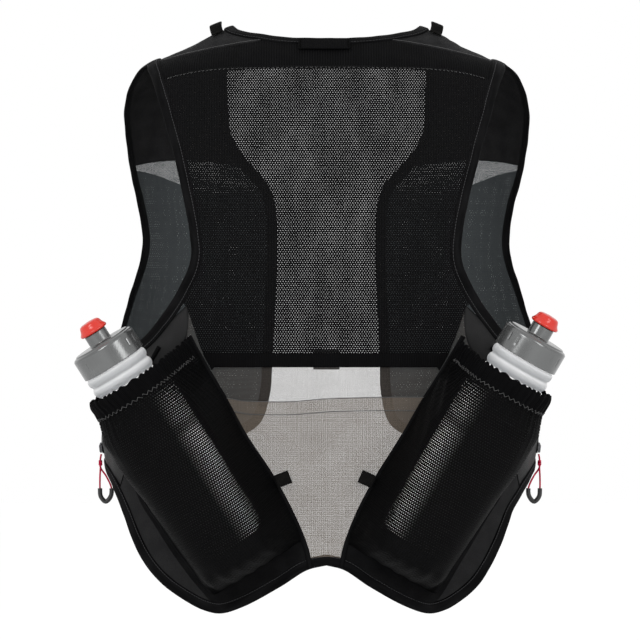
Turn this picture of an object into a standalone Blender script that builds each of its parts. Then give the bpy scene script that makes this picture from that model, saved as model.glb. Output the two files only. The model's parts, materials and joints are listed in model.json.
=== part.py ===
# Running hydration vest with two bottles, in metres, +Z up.
#
# The wearer faces +Y, so the back of the vest faces -Y. The origin lies on the middle plane of the body,
# at the height of the shoulder tops. Every cloth piece is a region of one torso surface, which is written
# in two coordinates: the turn, 0 at the middle of the back, 90 degrees at the side and 180 degrees at the
# middle of the front, and the height z. Negative turns are the left side, at -X.

import math

import bpy
import bmesh
import numpy as np
from mathutils import Matrix, Vector

# Overall sizes of the vest
VEST_HEIGHT = 0.528
CHEST_HALF_WIDTH = 0.184
BACK_DEPTH = 0.112
FRONT_DEPTH = 0.115
SECTION_POWER = 2.4

# Cloth and tape
PANEL_THICKNESS = 0.0010
SOLID_CLOTH_THICKNESS = 0.0016
TAPE_THICKNESS = 0.0030
LAYER_GAP = 0.0012
SEAM_GAP = 0.0009
TAPE_GAP = 0.0016
SIDE_SEAM_GAP = 0.0026
JOINT_GAP = 0.0006
ARMHOLE_TAPE_WIDTH = 0.011
EDGE_TAPE_WIDTH = 0.010
POCKET_HEM_WIDTH = 0.0125
LUMBAR_BAND_WIDTH = 0.015
ELASTIC_WIDTH = 0.005
ZIP_WIDTH = 0.006
ZIP_THICKNESS = 0.0012

# Bottle, cap and nozzle, measured from the cap's top face
CAP_RADIUS = 0.0305
CAP_HEIGHT = 0.020
CAP_ROOF = 0.0030
CAP_WALL = 0.0036
CAP_STEP = 0.0025
SPOUT_RADIUS = 0.0105
SPOUT_HEIGHT = 0.013
SPOUT_BORE_RADIUS = 0.0070
NECK_LENGTH = 0.0195
NECK_RING_RADIUS = 0.0298
BODY_RADIUS = 0.0365
BODY_LENGTH = 0.194
BOTTLE_WALL = 0.0015
FIT_CLEARANCE = 0.0004
NOZZLE_RADIUS = 0.0132
NOZZLE_HEIGHT = 0.0105
NOZZLE_STEM_LENGTH = 0.011
NOZZLE_HOLE_RADIUS = 0.0017
BOTTLE_LEAN_DEG = 4.0

# Holster
HOLSTER_WALL = 0.0010
HOLSTER_CLEARANCE = 0.0008
COLLAR_HEIGHT = 0.0175
COLLAR_START = 0.039
HOLSTER_SPARE = 0.014
HOLSTER_LENGTH = BODY_LENGTH + HOLSTER_SPARE
HOLSTER_END_ROUND = 0.022

# Small parts
TAB_LENGTH = 0.013
TAB_WIDTH = 0.012
TAB_WALL = 0.0012
TAB_OPENING = 0.0030
LOOP_HEIGHT = 0.0060
LOOP_WIDTH = 0.012
STRAP_WIDTH = 0.010
STRAP_THICKNESS = 0.0014
CLASP_LENGTH = 0.024
CLASP_HEIGHT = 0.018
CLASP_THICKNESS = 0.0050
SLIDER_LENGTH = 0.009
SLIDER_WIDTH = 0.006
SLIDER_THICKNESS = 0.0024
CORD_DIAMETER = 0.0016
GRIP_DIAMETER = 0.0042
GRIP_BORE_CLEARANCE = 0.0003
KNOT_LENGTH = 0.0045
KNOT_WALL = 0.0011

# Torso sections. Heights are shares of VEST_HEIGHT below the shoulder tops, widths are shares of
# CHEST_HALF_WIDTH and depths are shares of BACK_DEPTH and FRONT_DEPTH.
TORSO_COLUMNS = ("height", "left_width", "right_width", "back_depth", "front_depth")
TORSO_SECTIONS = (
    (-0.006, 0.413, 0.413, 0.143, 0.139),
    (0.000, 0.467, 0.467, 0.232, 0.226),
    (0.009, 0.538, 0.538, 0.321, 0.304),
    (0.022, 0.609, 0.609, 0.446, 0.400),
    (0.036, 0.685, 0.680, 0.536, 0.478),
    (0.049, 0.777, 0.766, 0.607, 0.539),
    (0.063, 0.870, 0.864, 0.670, 0.591),
    (0.076, 0.918, 0.918, 0.723, 0.643),
    (0.091, 0.951, 0.951, 0.777, 0.687),
    (0.117, 0.984, 0.984, 0.848, 0.765),
    (0.152, 1.000, 1.005, 0.911, 0.843),
    (0.227, 0.984, 0.989, 0.982, 0.957),
    (0.303, 0.962, 0.957, 1.000, 1.000),
    (0.379, 0.951, 0.946, 0.991, 1.000),
    (0.455, 0.978, 0.973, 0.955, 0.974),
    (0.530, 1.016, 1.011, 0.911, 0.939),
    (0.625, 1.065, 1.033, 0.857, 0.904),
    (0.705, 1.090, 1.027, 0.821, 0.878),
    (0.777, 1.068, 1.000, 0.804, 0.870),
    (0.833, 1.062, 0.967, 0.804, 0.870),
    (0.909, 1.071, 0.973, 0.821, 0.870),
    (1.000, 1.038, 1.000, 0.857, 0.870),
    (1.060, 1.022, 1.000, 0.875, 0.870),
)

# Outlines on the torso surface: turn in degrees, height as a share of VEST_HEIGHT
ARMHOLE_EDGE = (
    (84.0, 0.0660), (70.0, 0.0720), (58.0, 0.0930), (50.5, 0.1330), (46.5, 0.1900), (44.5, 0.2400),
    (43.0, 0.2900), (41.3, 0.3500), (41.0, 0.3970), (44.0, 0.4430), (49.0, 0.4870), (56.5, 0.5290),
    (68.0, 0.5530), (82.0, 0.5560), (94.0, 0.5380), (101.5, 0.4950), (106.0, 0.4550), (111.5, 0.4050),
    (114.0, 0.3620), (112.0, 0.3100), (107.5, 0.2540), (105.0, 0.2000), (103.0, 0.1450), (99.0, 0.1000),
    (93.0, 0.0740),
)
OUTER_EDGE = (
    (0.0, 0.0205), (10.0, 0.0203), (20.0, 0.0185), (32.0, 0.0136), (48.0, 0.0070), (66.0, 0.0005),
    (90.0, -0.0017), (110.0, 0.0005), (126.0, 0.0080), (138.0, 0.0220), (146.0, 0.0480), (150.0, 0.0850),
    (152.0, 0.1300), (152.8, 0.1750), (155.0, 0.2050), (159.0, 0.2350), (163.0, 0.2640), (165.0, 0.3000),
    (165.4, 0.3800), (165.4, 0.4700), (165.3, 0.5600), (165.0, 0.6300), (162.5, 0.6800), (156.0, 0.7040),
    (142.0, 0.7180), (122.0, 0.7340), (104.0, 0.7480), (90.0, 0.7570), (80.0, 0.7670), (71.5, 0.7900),
    (65.5, 0.8200), (60.5, 0.8550), (55.5, 0.8900), (50.5, 0.9230), (45.0, 0.9530), (39.0, 0.9770),
    (33.5, 0.9940), (28.5, 1.0000), (22.0, 0.9880), (12.0, 0.9540), (5.0, 0.9260), (0.0, 0.9180),
)
YOKE_STRAP_SEAM = ((30.0, 0.0240), (38.0, 0.0285), (56.0, 0.0430), (70.0, 0.0590))
YOKE_LOWER_SEAM = ((52.0, 0.0900), (42.0, 0.0790), (33.0, 0.0735), (17.0, 0.0710), (0.0, 0.0700))
SIDE_SEAM = (
    (40.5, 0.4700), (40.0, 0.5300), (45.0, 0.5900), (52.5, 0.6500), (57.5, 0.7050), (57.8, 0.7550),
    (52.0, 0.8050), (44.5, 0.8550), (37.5, 0.9050), (32.5, 0.9450), (30.0, 0.9780),
)
FRONT_SIDE_SEAM = ((101.0, 0.5050), (104.0, 0.5800), (106.0, 0.6600), (106.0, 0.7360))
COVER_LOWER_SEAM = ((156.2, 0.2340), (148.0, 0.2270), (138.0, 0.2230), (126.0, 0.2260), (110.5, 0.2340))
CHEST_POCKET_TOP = ((160.0, 0.2860), (155.0, 0.2880), (147.0, 0.2890), (137.5, 0.2780), (127.0, 0.2600),
                    (112.5, 0.2480))
POCKET_BOTTOM = ((-37.0, 0.5557), (-18.0, 0.5557), (0.0, 0.5557), (18.0, 0.5557), (37.0, 0.5557))
POCKET_SIDE = ((40.3, 0.4780), (38.0, 0.5050), (35.9, 0.5300), (33.7, 0.5557), (30.6, 0.5850))
LUMBAR_TOP = ((-27.0, 0.6360), (-10.0, 0.6380), (0.0, 0.6330), (10.0, 0.6310), (27.0, 0.6300))
SHOULDER_LOOP_LINE = ((63.0, 0.0150), (76.0, 0.0098), (90.0, 0.0083), (104.0, 0.0098), (117.0, 0.0150))
# Single places on the torso, as (turn, height): the front's lower corner and the joints of the edge tapes
FRONT_CORNER = (163.0, 0.6700)
SHOULDER_JOINT = (98.0, -0.0012)
HEM_JOINT = (150.0, 0.7110)
# The reinforced port at the middle of the neck: its two sides as turns, its top as a height, and how tall
# it is in metres
TUBE_PORT_TURNS = (-12.5, 10.5)
TUBE_PORT_TOP = 0.0240
TUBE_PORT_HEIGHT = 0.017
# What the hem's tape stands out past the other tapes, and the chest pocket past the front, in metres
HEM_EXTRA = 0.0004
CHEST_POCKET_LIFT = 0.0016
# The side flange: its upper and lower corner, and the share of the seam at which it ends
FLANGE_TOP = (58.2, 0.7350)
FLANGE_FOOT = (67.0, 0.7950)
FLANGE_END = 0.975
# The gap kept between a pocket or holster and the tapes round it, in metres
POCKET_MARGIN = 0.0030
HOLSTER_MARGIN = 0.0020
# The loop at each holster's inner edge: its place, and its slope down the torso
TAB_PLACE = (12.9, 0.7750)
TAB_SLOPE = 0.0008
# The sternum strap: its height, and the turn at which its webbing starts on each side
STRAP_HEIGHT_SHARE = 0.568
STRAP_START_TURN = 161.6
# The zip's run on the side panel, from its lower end up
ZIP_LINE = ((86.5, 0.7270), (88.0, 0.6800), (92.0, 0.6250), (97.0, 0.5850))

# Bottle seats: the centre of each cap's top face, across as a share of CHEST_HALF_WIDTH and down as a
# share of VEST_HEIGHT, and the tilt of the bottle from upright, its top leaning outward
BOTTLE_SEATS = ((-1, 1.092, 0.541, 32.3), (1, 1.022, 0.531, 30.2))

# The holster's seams on the back, and how full its cloth stands over the bottle: along as a share of
# HOLSTER_LENGTH and the fullness as a share of FULLNESS
HOLSTER_INNER_SEAM = (
    (38.5, 0.5270), (33.0, 0.5740), (26.6, 0.6320), (21.0, 0.6940), (14.4, 0.7640), (10.3, 0.8140),
    (7.0, 0.8600), (5.3, 0.8900),
)
HOLSTER_OUTER_SEAM = (
    (48.5, 0.5450), (52.0, 0.5850), (54.5, 0.6300), (56.5, 0.6900), (56.5, 0.7450), (52.0, 0.8050),
    (45.0, 0.8530), (37.5, 0.9080), (31.5, 0.9560), (29.0, 0.9750),
)
FULLNESS_COLUMNS = ("along", "fullness")
HOLSTER_FULLNESS = (
    (0.00, 0.00), (0.09, 0.10), (0.18, 0.85), (0.36, 0.85), (0.50, 0.50), (0.70, 0.25), (0.85, 0.05),
    (1.00, 0.00),
)
FULLNESS = 0.010

# Spacing of points: the length that one radian of bend counts for, and the bend that makes a corner,
# which takes a point of its own
BEND_LENGTH = 0.07
CORNER_BEND = 0.25
# The share of a boundary that follows when its end is moved onto a corner
END_REACH = 0.10

# The pull cord's route from the slider's eye: outward, along the body and down, in metres
PULL_ROUTE = (
    (0.0, -0.0011, 0.0), (0.0008, -0.0011, 0.004), (0.0008, -0.0011, 0.012), (0.0012, -0.0010, 0.020),
    (0.0012, -0.0003, 0.031), (0.0004, 0.0, 0.0385), (-0.0040, 0.0, 0.0430), (-0.0084, 0.0, 0.0385),
    (-0.0092, 0.0003, 0.031), (-0.0044, 0.0010, 0.020), (0.0008, 0.0011, 0.012), (0.0008, 0.0011, 0.004),
    (0.0, 0.0011, 0.0),
)
GRIP_START = 0.0300
KNOT_DROP = 0.0078

# Counts of faces
ALONG_ARMHOLE = 40
BOTTLE_SIDES = 18
NOZZLE_SIDES = 12
CORD_POINTS = 19

COLOURS = {
    "sheer_mesh": (0.09, 0.09, 0.09, 0.0, 0.8),
    "pocket_mesh": (0.02, 0.02, 0.02, 0.0, 0.85),
    "solid_cloth": (0.03, 0.03, 0.032, 0.0, 0.8),
    "softshell": (0.045, 0.045, 0.05, 0.0, 0.6),
    "edge_tape": (0.012, 0.012, 0.013, 0.0, 0.75),
    "webbing": (0.015, 0.013, 0.012, 0.0, 0.8),
    "bottle_plastic": (0.62, 0.62, 0.62, 0.0, 0.35),
    "cap_plastic": (0.30, 0.31, 0.31, 0.3, 0.35),
    "nozzle_rubber": (0.80, 0.08, 0.04, 0.0, 0.45),
    "slider_metal": (0.25, 0.25, 0.26, 1.0, 0.35),
    "pull_cord": (0.55, 0.02, 0.04, 0.0, 0.7),
    "grip_rubber": (0.015, 0.015, 0.015, 0.0, 0.55),
    "black_plastic": (0.02, 0.02, 0.02, 0.0, 0.4),
}


def column(table, columns, name):
    """Returns one named column of a table as an array."""
    return np.array([row[columns.index(name)] for row in table], float)


def smooth_table(places, values):
    """Returns a function that runs smoothly through a table without overshooting it."""
    steps = np.diff(places)
    slopes = np.diff(values) / steps
    tangents = np.zeros(len(values))
    tangents[0], tangents[-1] = slopes[0], slopes[-1]
    for i in range(1, len(values) - 1):
        if slopes[i - 1] * slopes[i] > 0:
            before = 2 * steps[i] + steps[i - 1]
            after = steps[i] + 2 * steps[i - 1]
            tangents[i] = (before + after) / (before / slopes[i - 1] + after / slopes[i])

    def value(place):
        place = np.clip(place, places[0], places[-1])
        i = np.clip(np.searchsorted(places, place) - 1, 0, len(steps) - 1)
        step = steps[i]
        share = (place - places[i]) / step
        return ((1 + 2 * share) * (1 - share) ** 2 * values[i]
                + share * (1 - share) ** 2 * step * tangents[i]
                + share ** 2 * (3 - 2 * share) * values[i + 1]
                + share ** 2 * (share - 1) * step * tangents[i + 1])
    return value


def torso_table(name, size):
    heights = column(TORSO_SECTIONS, TORSO_COLUMNS, "height")
    return smooth_table(heights, size * column(TORSO_SECTIONS, TORSO_COLUMNS, name))


OUTLINE_SCALE = np.array([CHEST_HALF_WIDTH, 1.0])
LEFT_WIDTH = torso_table("left_width", CHEST_HALF_WIDTH)
RIGHT_WIDTH = torso_table("right_width", CHEST_HALF_WIDTH)
BACK = torso_table("back_depth", BACK_DEPTH)
FRONT = torso_table("front_depth", FRONT_DEPTH)


def torso(turn, z):
    """Points of the torso surface at the given turns (radians) and heights (metres)."""
    share = -np.asarray(z, float) / VEST_HEIGHT
    across = np.sin(turn)
    along = np.cos(turn)
    reach = (np.abs(across) ** SECTION_POWER + np.abs(along) ** SECTION_POWER) ** (-1 / SECTION_POWER)
    width = np.where(np.asarray(turn) < 0, LEFT_WIDTH(share), RIGHT_WIDTH(share))
    depth = np.where(along > 0, BACK(share), FRONT(share))
    return np.stack([width * reach * across, -depth * reach * along, np.asarray(z) + 0 * across], axis=-1)


def torso_normals(turn, z):
    """Outward unit normals of the torso surface."""
    step_turn, step_z = 0.002, 0.0005
    along_turn = torso(turn + step_turn, z) - torso(turn - step_turn, z)
    along_z = torso(turn, z + step_z) - torso(turn, z - step_z)
    normal = np.cross(along_turn, along_z)
    return normal / np.linalg.norm(normal, axis=-1, keepdims=True)


def back_turn(x, z):
    """The turn of the back's surface point at x and z."""
    share = -np.asarray(z) / VEST_HEIGHT
    width = np.where(np.asarray(x) < 0, LEFT_WIDTH(share), RIGHT_WIDTH(share))
    across = np.clip(np.abs(x) / width, 0, 0.9999)
    along = (1 - across ** SECTION_POWER) ** (1 / SECTION_POWER)
    return np.sign(x) * np.arctan2(across, along)


def outline(rows, side=1, closed=False, count=900):
    """A dense smooth curve of (turn, z) through an outline's rows."""
    points = np.array([(side * math.radians(turn), -height * VEST_HEIGHT) for turn, height in rows])
    return spline(points, closed, count)


def spline(points, closed=False, count=240):
    """A dense centripetal spline through points, of any dimension."""
    points = np.asarray(points, float)
    if closed:
        ring = np.vstack([points[-1:], points, points[:2]])
    else:
        ring = np.vstack([2 * points[:1] - points[1:2], points, 2 * points[-1:] - points[-2:-1]])
    spans = len(ring) - 3
    each = max(2, count // spans)
    result = []
    for i in range(spans):
        p0, p1, p2, p3 = ring[i:i + 4]
        t0 = 0.0
        t1 = t0 + math.sqrt(max(chord(p0, p1), 1e-9))
        t2 = t1 + math.sqrt(max(chord(p1, p2), 1e-9))
        t3 = t2 + math.sqrt(max(chord(p2, p3), 1e-9))
        for t in np.linspace(t1, t2, each, endpoint=False):
            a1 = (t1 - t) / (t1 - t0) * p0 + (t - t0) / (t1 - t0) * p1
            a2 = (t2 - t) / (t2 - t1) * p1 + (t - t1) / (t2 - t1) * p2
            a3 = (t3 - t) / (t3 - t2) * p2 + (t - t2) / (t3 - t2) * p3
            b1 = (t2 - t) / (t2 - t0) * a1 + (t - t0) / (t2 - t0) * a2
            b2 = (t3 - t) / (t3 - t1) * a2 + (t - t1) / (t3 - t1) * a3
            result.append((t2 - t) / (t2 - t1) * b1 + (t - t1) / (t2 - t1) * b2)
    if not closed:
        result.append(points[-1])
    return np.array(result)


def chord(first, second):
    """Distance between two outline points, with a turn of one radian counted as CHEST_HALF_WIDTH."""
    if len(first) == 2:
        return float(np.linalg.norm((second - first) * OUTLINE_SCALE))
    return float(np.linalg.norm(second - first))


def shift(curve, distance, closed=False):
    """The curve moved sideways on the torso surface, to its left when seen from outside."""
    if closed:
        ahead, behind = np.roll(curve, -1, axis=0), np.roll(curve, 1, axis=0)
    else:
        ahead = np.vstack([curve[1:], curve[-1:]])
        behind = np.vstack([curve[:1], curve[:-1]])
    turn, z = curve[:, 0], curve[:, 1]
    run = torso(ahead[:, 0], ahead[:, 1]) - torso(behind[:, 0], behind[:, 1])
    run /= np.linalg.norm(run, axis=1, keepdims=True)
    sideways = np.cross(torso_normals(turn, z), run)
    step_turn, step_z = 0.002, 0.0005
    by_turn = (torso(turn + step_turn, z) - torso(turn - step_turn, z)) / (2 * step_turn)
    by_z = (torso(turn, z + step_z) - torso(turn, z - step_z)) / (2 * step_z)
    tt = np.sum(by_turn * by_turn, axis=1)
    zz = np.sum(by_z * by_z, axis=1)
    tz = np.sum(by_turn * by_z, axis=1)
    st = np.sum(sideways * by_turn, axis=1)
    sz = np.sum(sideways * by_z, axis=1)
    scale = distance / (tt * zz - tz * tz)
    return curve + np.stack([(st * zz - sz * tz) * scale, (sz * tt - st * tz) * scale], axis=1)


def spacing(curve, count):
    """How far along a curve its points count, with more weight where the curve bends."""
    steps = np.diff(torso(curve[:, 0], curve[:, 1]), axis=0)
    lengths = np.linalg.norm(steps, axis=1)
    ahead = steps / np.maximum(lengths, 1e-9)[:, None]
    bend = np.concatenate([[0], np.linalg.norm(np.diff(ahead, axis=0), axis=1)])
    weights = lengths + BEND_LENGTH * np.minimum(bend, CORNER_BEND)
    corners = bend > CORNER_BEND
    weights[corners] = weights[~corners].sum() / max(1, count - 1 - corners.sum())
    return np.concatenate([[0], np.cumsum(weights)])


def resample(curve, count, run=None):
    """Evenly counted points along a curve, or along another curve that runs beside it."""
    run = spacing(curve, count) if run is None else run
    places = np.linspace(0, run[-1], count)
    return np.stack([np.interp(places, run, curve[:, 0]), np.interp(places, run, curve[:, 1])], axis=1)


def nearest(curve, point):
    """Index of the curve's point nearest to an outline row or point."""
    return int(np.argmin(np.linalg.norm((curve - point) * OUTLINE_SCALE, axis=1)))


def between(curve, start, end):
    """The stretch of an open curve between its points nearest to start and end."""
    first, last = nearest(curve, start), nearest(curve, end)
    if first <= last:
        return curve[first:last + 1]
    return curve[last:first + 1][::-1]


def around(ring, start, end):
    """The stretch of a closed curve from start to end, in the curve's own direction."""
    first, last = nearest(ring, start), nearest(ring, end)
    return ring[first:last + 1] if first <= last else np.vstack([ring[first:], ring[:last + 1]])


def row(turn, height, side=1):
    return np.array([side * math.radians(turn), -height * VEST_HEIGHT])


def joined(*curves):
    return np.vstack(curves)


def ended(curve, start, end):
    """The curve with its ends moved onto two corners, and only the points next to them following."""
    shares = np.linspace(0, 1, len(curve))[:, None]
    first, last = np.clip(1 - shares / END_REACH, 0, 1), np.clip(1 - (1 - shares) / END_REACH, 0, 1)
    return curve + first * (start - curve[0]) + last * (end - curve[-1])


def filled(top, bottom, left, right, across, down):
    """A grid of (turn, z) that fills four boundary curves, which need not meet exactly."""
    left, right = resample(left, down + 1), resample(right, down + 1)
    top = ended(resample(top, across + 1), left[0], right[0])
    bottom = ended(resample(bottom, across + 1), left[-1], right[-1])
    u = np.linspace(0, 1, across + 1)[None, :, None]
    v = np.linspace(0, 1, down + 1)[:, None, None]
    grid = (1 - v) * top[None] + v * bottom[None] + (1 - u) * left[:, None] + u * right[:, None]
    corners = ((1 - u) * (1 - v) * top[0] + u * (1 - v) * top[-1]
               + (1 - u) * v * bottom[0] + u * v * bottom[-1])
    return grid - corners


def material(slot):
    found = bpy.data.materials.get(slot)
    if found:
        return found
    red, green, blue, metallic, roughness = COLOURS[slot]
    made = bpy.data.materials.new(slot)
    made.use_nodes = True
    shader = made.node_tree.nodes["Principled BSDF"]
    shader.inputs["Base Color"].default_value = (red, green, blue, 1.0)
    shader.inputs["Metallic"].default_value = metallic
    shader.inputs["Roughness"].default_value = roughness
    made.diffuse_color = (red, green, blue, 1.0)
    return made


def add_object(name, points, faces, slot, place=None, smooth=True):
    """Adds one closed mesh with its faces pointing out."""
    mesh = bpy.data.meshes.new(name)
    mesh.from_pydata([tuple(map(float, p)) for p in points], [], faces)
    shape = bmesh.new()
    shape.from_mesh(mesh)
    bmesh.ops.recalc_face_normals(shape, faces=shape.faces)
    shape.to_mesh(mesh)
    shape.free()
    if smooth:
        mesh.shade_smooth()
        mesh.set_sharp_from_angle(angle=math.radians(40))
    mesh.materials.append(material(slot))
    made = bpy.data.objects.new(name, mesh)
    bpy.context.collection.objects.link(made)
    if place is not None:
        made.matrix_world = place
    return made


def shell_faces(down, across, ring=False):
    """Faces of a wall between two grids of points, the outer grid's points first."""
    faces = []
    size = down * across
    wrap = across if ring else across - 1

    def at(i, j, inner=0):
        return inner * size + i * across + j % across
    for i in range(down - 1):
        for j in range(wrap):
            faces.append((at(i, j), at(i, j + 1), at(i + 1, j + 1), at(i + 1, j)))
            faces.append((at(i, j, 1), at(i + 1, j, 1), at(i + 1, j + 1, 1), at(i, j + 1, 1)))
    for j in range(wrap):
        faces.append((at(0, j), at(0, j, 1), at(0, j + 1, 1), at(0, j + 1)))
        faces.append((at(down - 1, j), at(down - 1, j + 1), at(down - 1, j + 1, 1), at(down - 1, j, 1)))
    if not ring:
        for i in range(down - 1):
            faces.append((at(i, 0), at(i + 1, 0), at(i + 1, 0, 1), at(i, 0, 1)))
            end = across - 1
            faces.append((at(i, end), at(i, end, 1), at(i + 1, end, 1), at(i + 1, end)))
    return faces


def cloth(name, grid, low, high, slot, ring=False):
    """A wall of cloth over a grid of the torso surface, between two distances from that surface."""
    turn, z = grid[..., 0], grid[..., 1]
    base, normal = torso(turn, z), torso_normals(turn, z)
    low = np.broadcast_to(low, turn.shape)[..., None]
    high = np.broadcast_to(high, turn.shape)[..., None]
    points = np.concatenate([(base + normal * high).reshape(-1, 3), (base + normal * low).reshape(-1, 3)])
    return add_object(name, points, shell_faces(*turn.shape, ring), slot)


def ribbon(curve, width, count, closed=False):
    """A grid two rows deep between a curve and the same curve shifted sideways."""
    beside = shift(curve, width, closed)
    if closed:
        curve, beside = np.vstack([curve, curve[:1]]), np.vstack([beside, beside[:1]])
        count += 1
    run = spacing(curve, count)
    grid = np.stack([resample(curve, count, run), resample(beside, count, run)])
    return grid[:, :-1] if closed else grid


PANEL_TOP = PANEL_THICKNESS
OVERLAY_LOW = PANEL_TOP + LAYER_GAP
OVERLAY_TOP = OVERLAY_LOW + PANEL_THICKNESS
ARM_SEAM = ARMHOLE_TAPE_WIDTH + TAPE_GAP
EDGE_SEAM = EDGE_TAPE_WIDTH + TAPE_GAP
SIDES = (-1, 1)


def side_name(side):
    return "left" if side < 0 else "right"


def armhole(side, inward=0.0):
    """The armhole's edge, or a line beside it on the cloth, as a ring that runs down the back."""
    ring = outline(ARMHOLE_EDGE, side, closed=True)
    return shift(ring, -side * inward, closed=True) if inward else ring


def outer_edge(side, inward=0.0):
    """The vest's outer edge from the back neck round the front to the back hem, or a line beside it."""
    edge = outline(OUTER_EDGE, side, count=1800)
    if inward:
        edge = shift(edge, -side * inward)
        edge = edge[edge[:, 0] * side > 0]
        edge = np.vstack([[0.0, edge[0, 1]], edge, [0.0, edge[-1, 1]]])
    return edge


def both_sides(curve):
    """A right half line that ends at the middle, carried on over the left: from left to right."""
    return np.vstack([curve[:-1] * np.array([-1, 1]), curve[::-1]])


def cut_at(curve, other):
    """The curve up to where it comes nearest to another one, ending on that one."""
    gaps = np.linalg.norm((curve[:, None] - other[None, ::2]) * OUTLINE_SCALE, axis=2)
    last = int(np.argmin(gaps.min(axis=1)))
    return np.vstack([curve[:last], other[nearest(other, curve[last])]])


def beyond(curve, other):
    """The curve from where it comes nearest to another one."""
    gaps = np.linalg.norm((curve[:, None] - other[None, ::2]) * OUTLINE_SCALE, axis=2)
    return curve[int(np.argmin(gaps.min(axis=1))):]


def back_side(side):
    """The back panel's side edge: down the armhole's seam and on down the side seam to the hem."""
    ring = armhole(side, ARM_SEAM + SEAM_GAP)
    seam = beyond(shift(outline(SIDE_SEAM, side), -side * SIDE_SEAM_GAP / 2), ring)
    start = row(*YOKE_LOWER_SEAM[0], side) - np.array([0, 2 * TAPE_GAP])
    return cut_at(joined(around(ring, start, seam[0]), seam[1:]), outer_edge(side, EDGE_SEAM))


def hem_between(left, right):
    """The hem's seam line over the back between two points, one on each side."""
    halves = []
    for side, corner in ((-1, left), (1, right)):
        edge = outer_edge(side, EDGE_SEAM + SEAM_GAP)
        edge = edge[len(edge) // 2:]
        halves.append(edge[nearest(edge, corner):])
    return np.vstack([halves[0], halves[1][::-1]])


def yoke_lower_seam(drop):
    return both_sides(outline(YOKE_LOWER_SEAM)) - np.array([0, drop])


def make_back_panel():
    sides = [back_side(side) for side in SIDES]
    bottom = hem_between(sides[0][-1], sides[1][-1])
    grid = filled(yoke_lower_seam(TAPE_GAP), bottom, sides[0], sides[1], 14, 15)
    cloth("back_panel", grid, 0.0, PANEL_TOP, "sheer_mesh")


def make_back_yoke():
    """The solid band below the neck, out to the strap covers and the armholes."""
    halves, sides = [], []
    for side in SIDES:
        edge, ring = outer_edge(side, EDGE_SEAM), armhole(side, ARM_SEAM)
        strap_seam = cut_at(beyond(outline(YOKE_STRAP_SEAM, side), edge), ring)
        sides.append(around(ring, strap_seam[-1], row(*YOKE_LOWER_SEAM[0], side)))
        neck = edge[:nearest(edge[:len(edge) // 2], strap_seam[0])]
        halves.append(joined(neck, strap_seam))
    top = np.vstack([halves[0][::-1], halves[1][1:]])
    grid = filled(top, yoke_lower_seam(0.0), sides[0], sides[1], 18, 2)
    cloth("back_yoke", grid, 0.0, SOLID_CLOTH_THICKNESS, "solid_cloth")


def pocket_side(side):
    """The mesh pocket's side seam down the armhole and in to the holster."""
    ring = armhole(side, ARM_SEAM + SEAM_GAP)
    seam = beyond(outline(POCKET_SIDE, side), ring)
    start = row(*YOKE_LOWER_SEAM[0], side) - np.array([0, 2 * TAPE_GAP])
    return joined(around(ring, start, seam[0]), seam[1:])


def make_back_pocket():
    """The mesh pocket over the back and the dark band along its lower edge."""
    bottom = outline(POCKET_BOTTOM)
    hem_top = bottom - np.array([0, SEAM_GAP])
    hem_bottom = hem_top - np.array([0, POCKET_HEM_WIDTH])
    sides = [pocket_side(side) for side in SIDES]
    upper = [cut_at(side, bottom) for side in sides]
    grid = filled(yoke_lower_seam(TAPE_GAP), bottom, upper[0], upper[1], 14, 9)
    cloth("back_pocket", grid, OVERLAY_LOW, OVERLAY_TOP, "pocket_mesh")
    lower = [side[nearest(side, cut_at(side, hem_top)[-1]):] for side in sides]
    grid = filled(hem_top, hem_bottom, lower[0], lower[1], 14, 1)
    cloth("pocket_hem", grid, OVERLAY_LOW, OVERLAY_TOP + HEM_EXTRA, "solid_cloth")


def make_tube_port():
    """The reinforced slot panel at the middle of the neck, over the tape."""
    top = np.array([row(turn, TUBE_PORT_TOP) for turn in np.linspace(*TUBE_PORT_TURNS, 7)])
    grid = ribbon(top, -TUBE_PORT_HEIGHT, 5)
    low = TAPE_THICKNESS + JOINT_GAP
    cloth("tube_port", grid, low, low + PANEL_THICKNESS, "solid_cloth")


def make_edge_tapes():
    """Tapes along the back neck, down both fronts and all round the hem."""
    halves = {side: outer_edge(side) for side in SIDES}
    neck, fronts, hems = [], [], []
    for side in SIDES:
        edge = halves[side]
        shoulder = nearest(edge, row(*SHOULDER_JOINT, side))
        corner = nearest(edge, row(*HEM_JOINT, side))
        neck.append(edge[:shoulder])
        fronts.append(edge[shoulder + 2:corner])
        hems.append(edge[corner + 2:])
    line = np.vstack([neck[0][::-1], neck[1][1:]])
    cloth("neck_binding", ribbon(line, -EDGE_TAPE_WIDTH, 21), 0.0, TAPE_THICKNESS, "edge_tape")
    for side, line in zip(SIDES, fronts):
        name = side_name(side) + "_front_binding"
        cloth(name, ribbon(line, -side * EDGE_TAPE_WIDTH, 27), 0.0, TAPE_THICKNESS, "edge_tape")
    line = np.vstack([hems[0], hems[1][::-1][1:]])
    cloth("hem_binding", ribbon(line, EDGE_TAPE_WIDTH, 53), 0.0, TAPE_THICKNESS, "edge_tape")


def make_armhole_binding(side):
    ring = armhole(side)
    grid = ribbon(ring, -side * ARMHOLE_TAPE_WIDTH, ALONG_ARMHOLE, closed=True)
    cloth(side_name(side) + "_armhole_binding", grid, 0.0, TAPE_THICKNESS, "edge_tape", ring=True)


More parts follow.
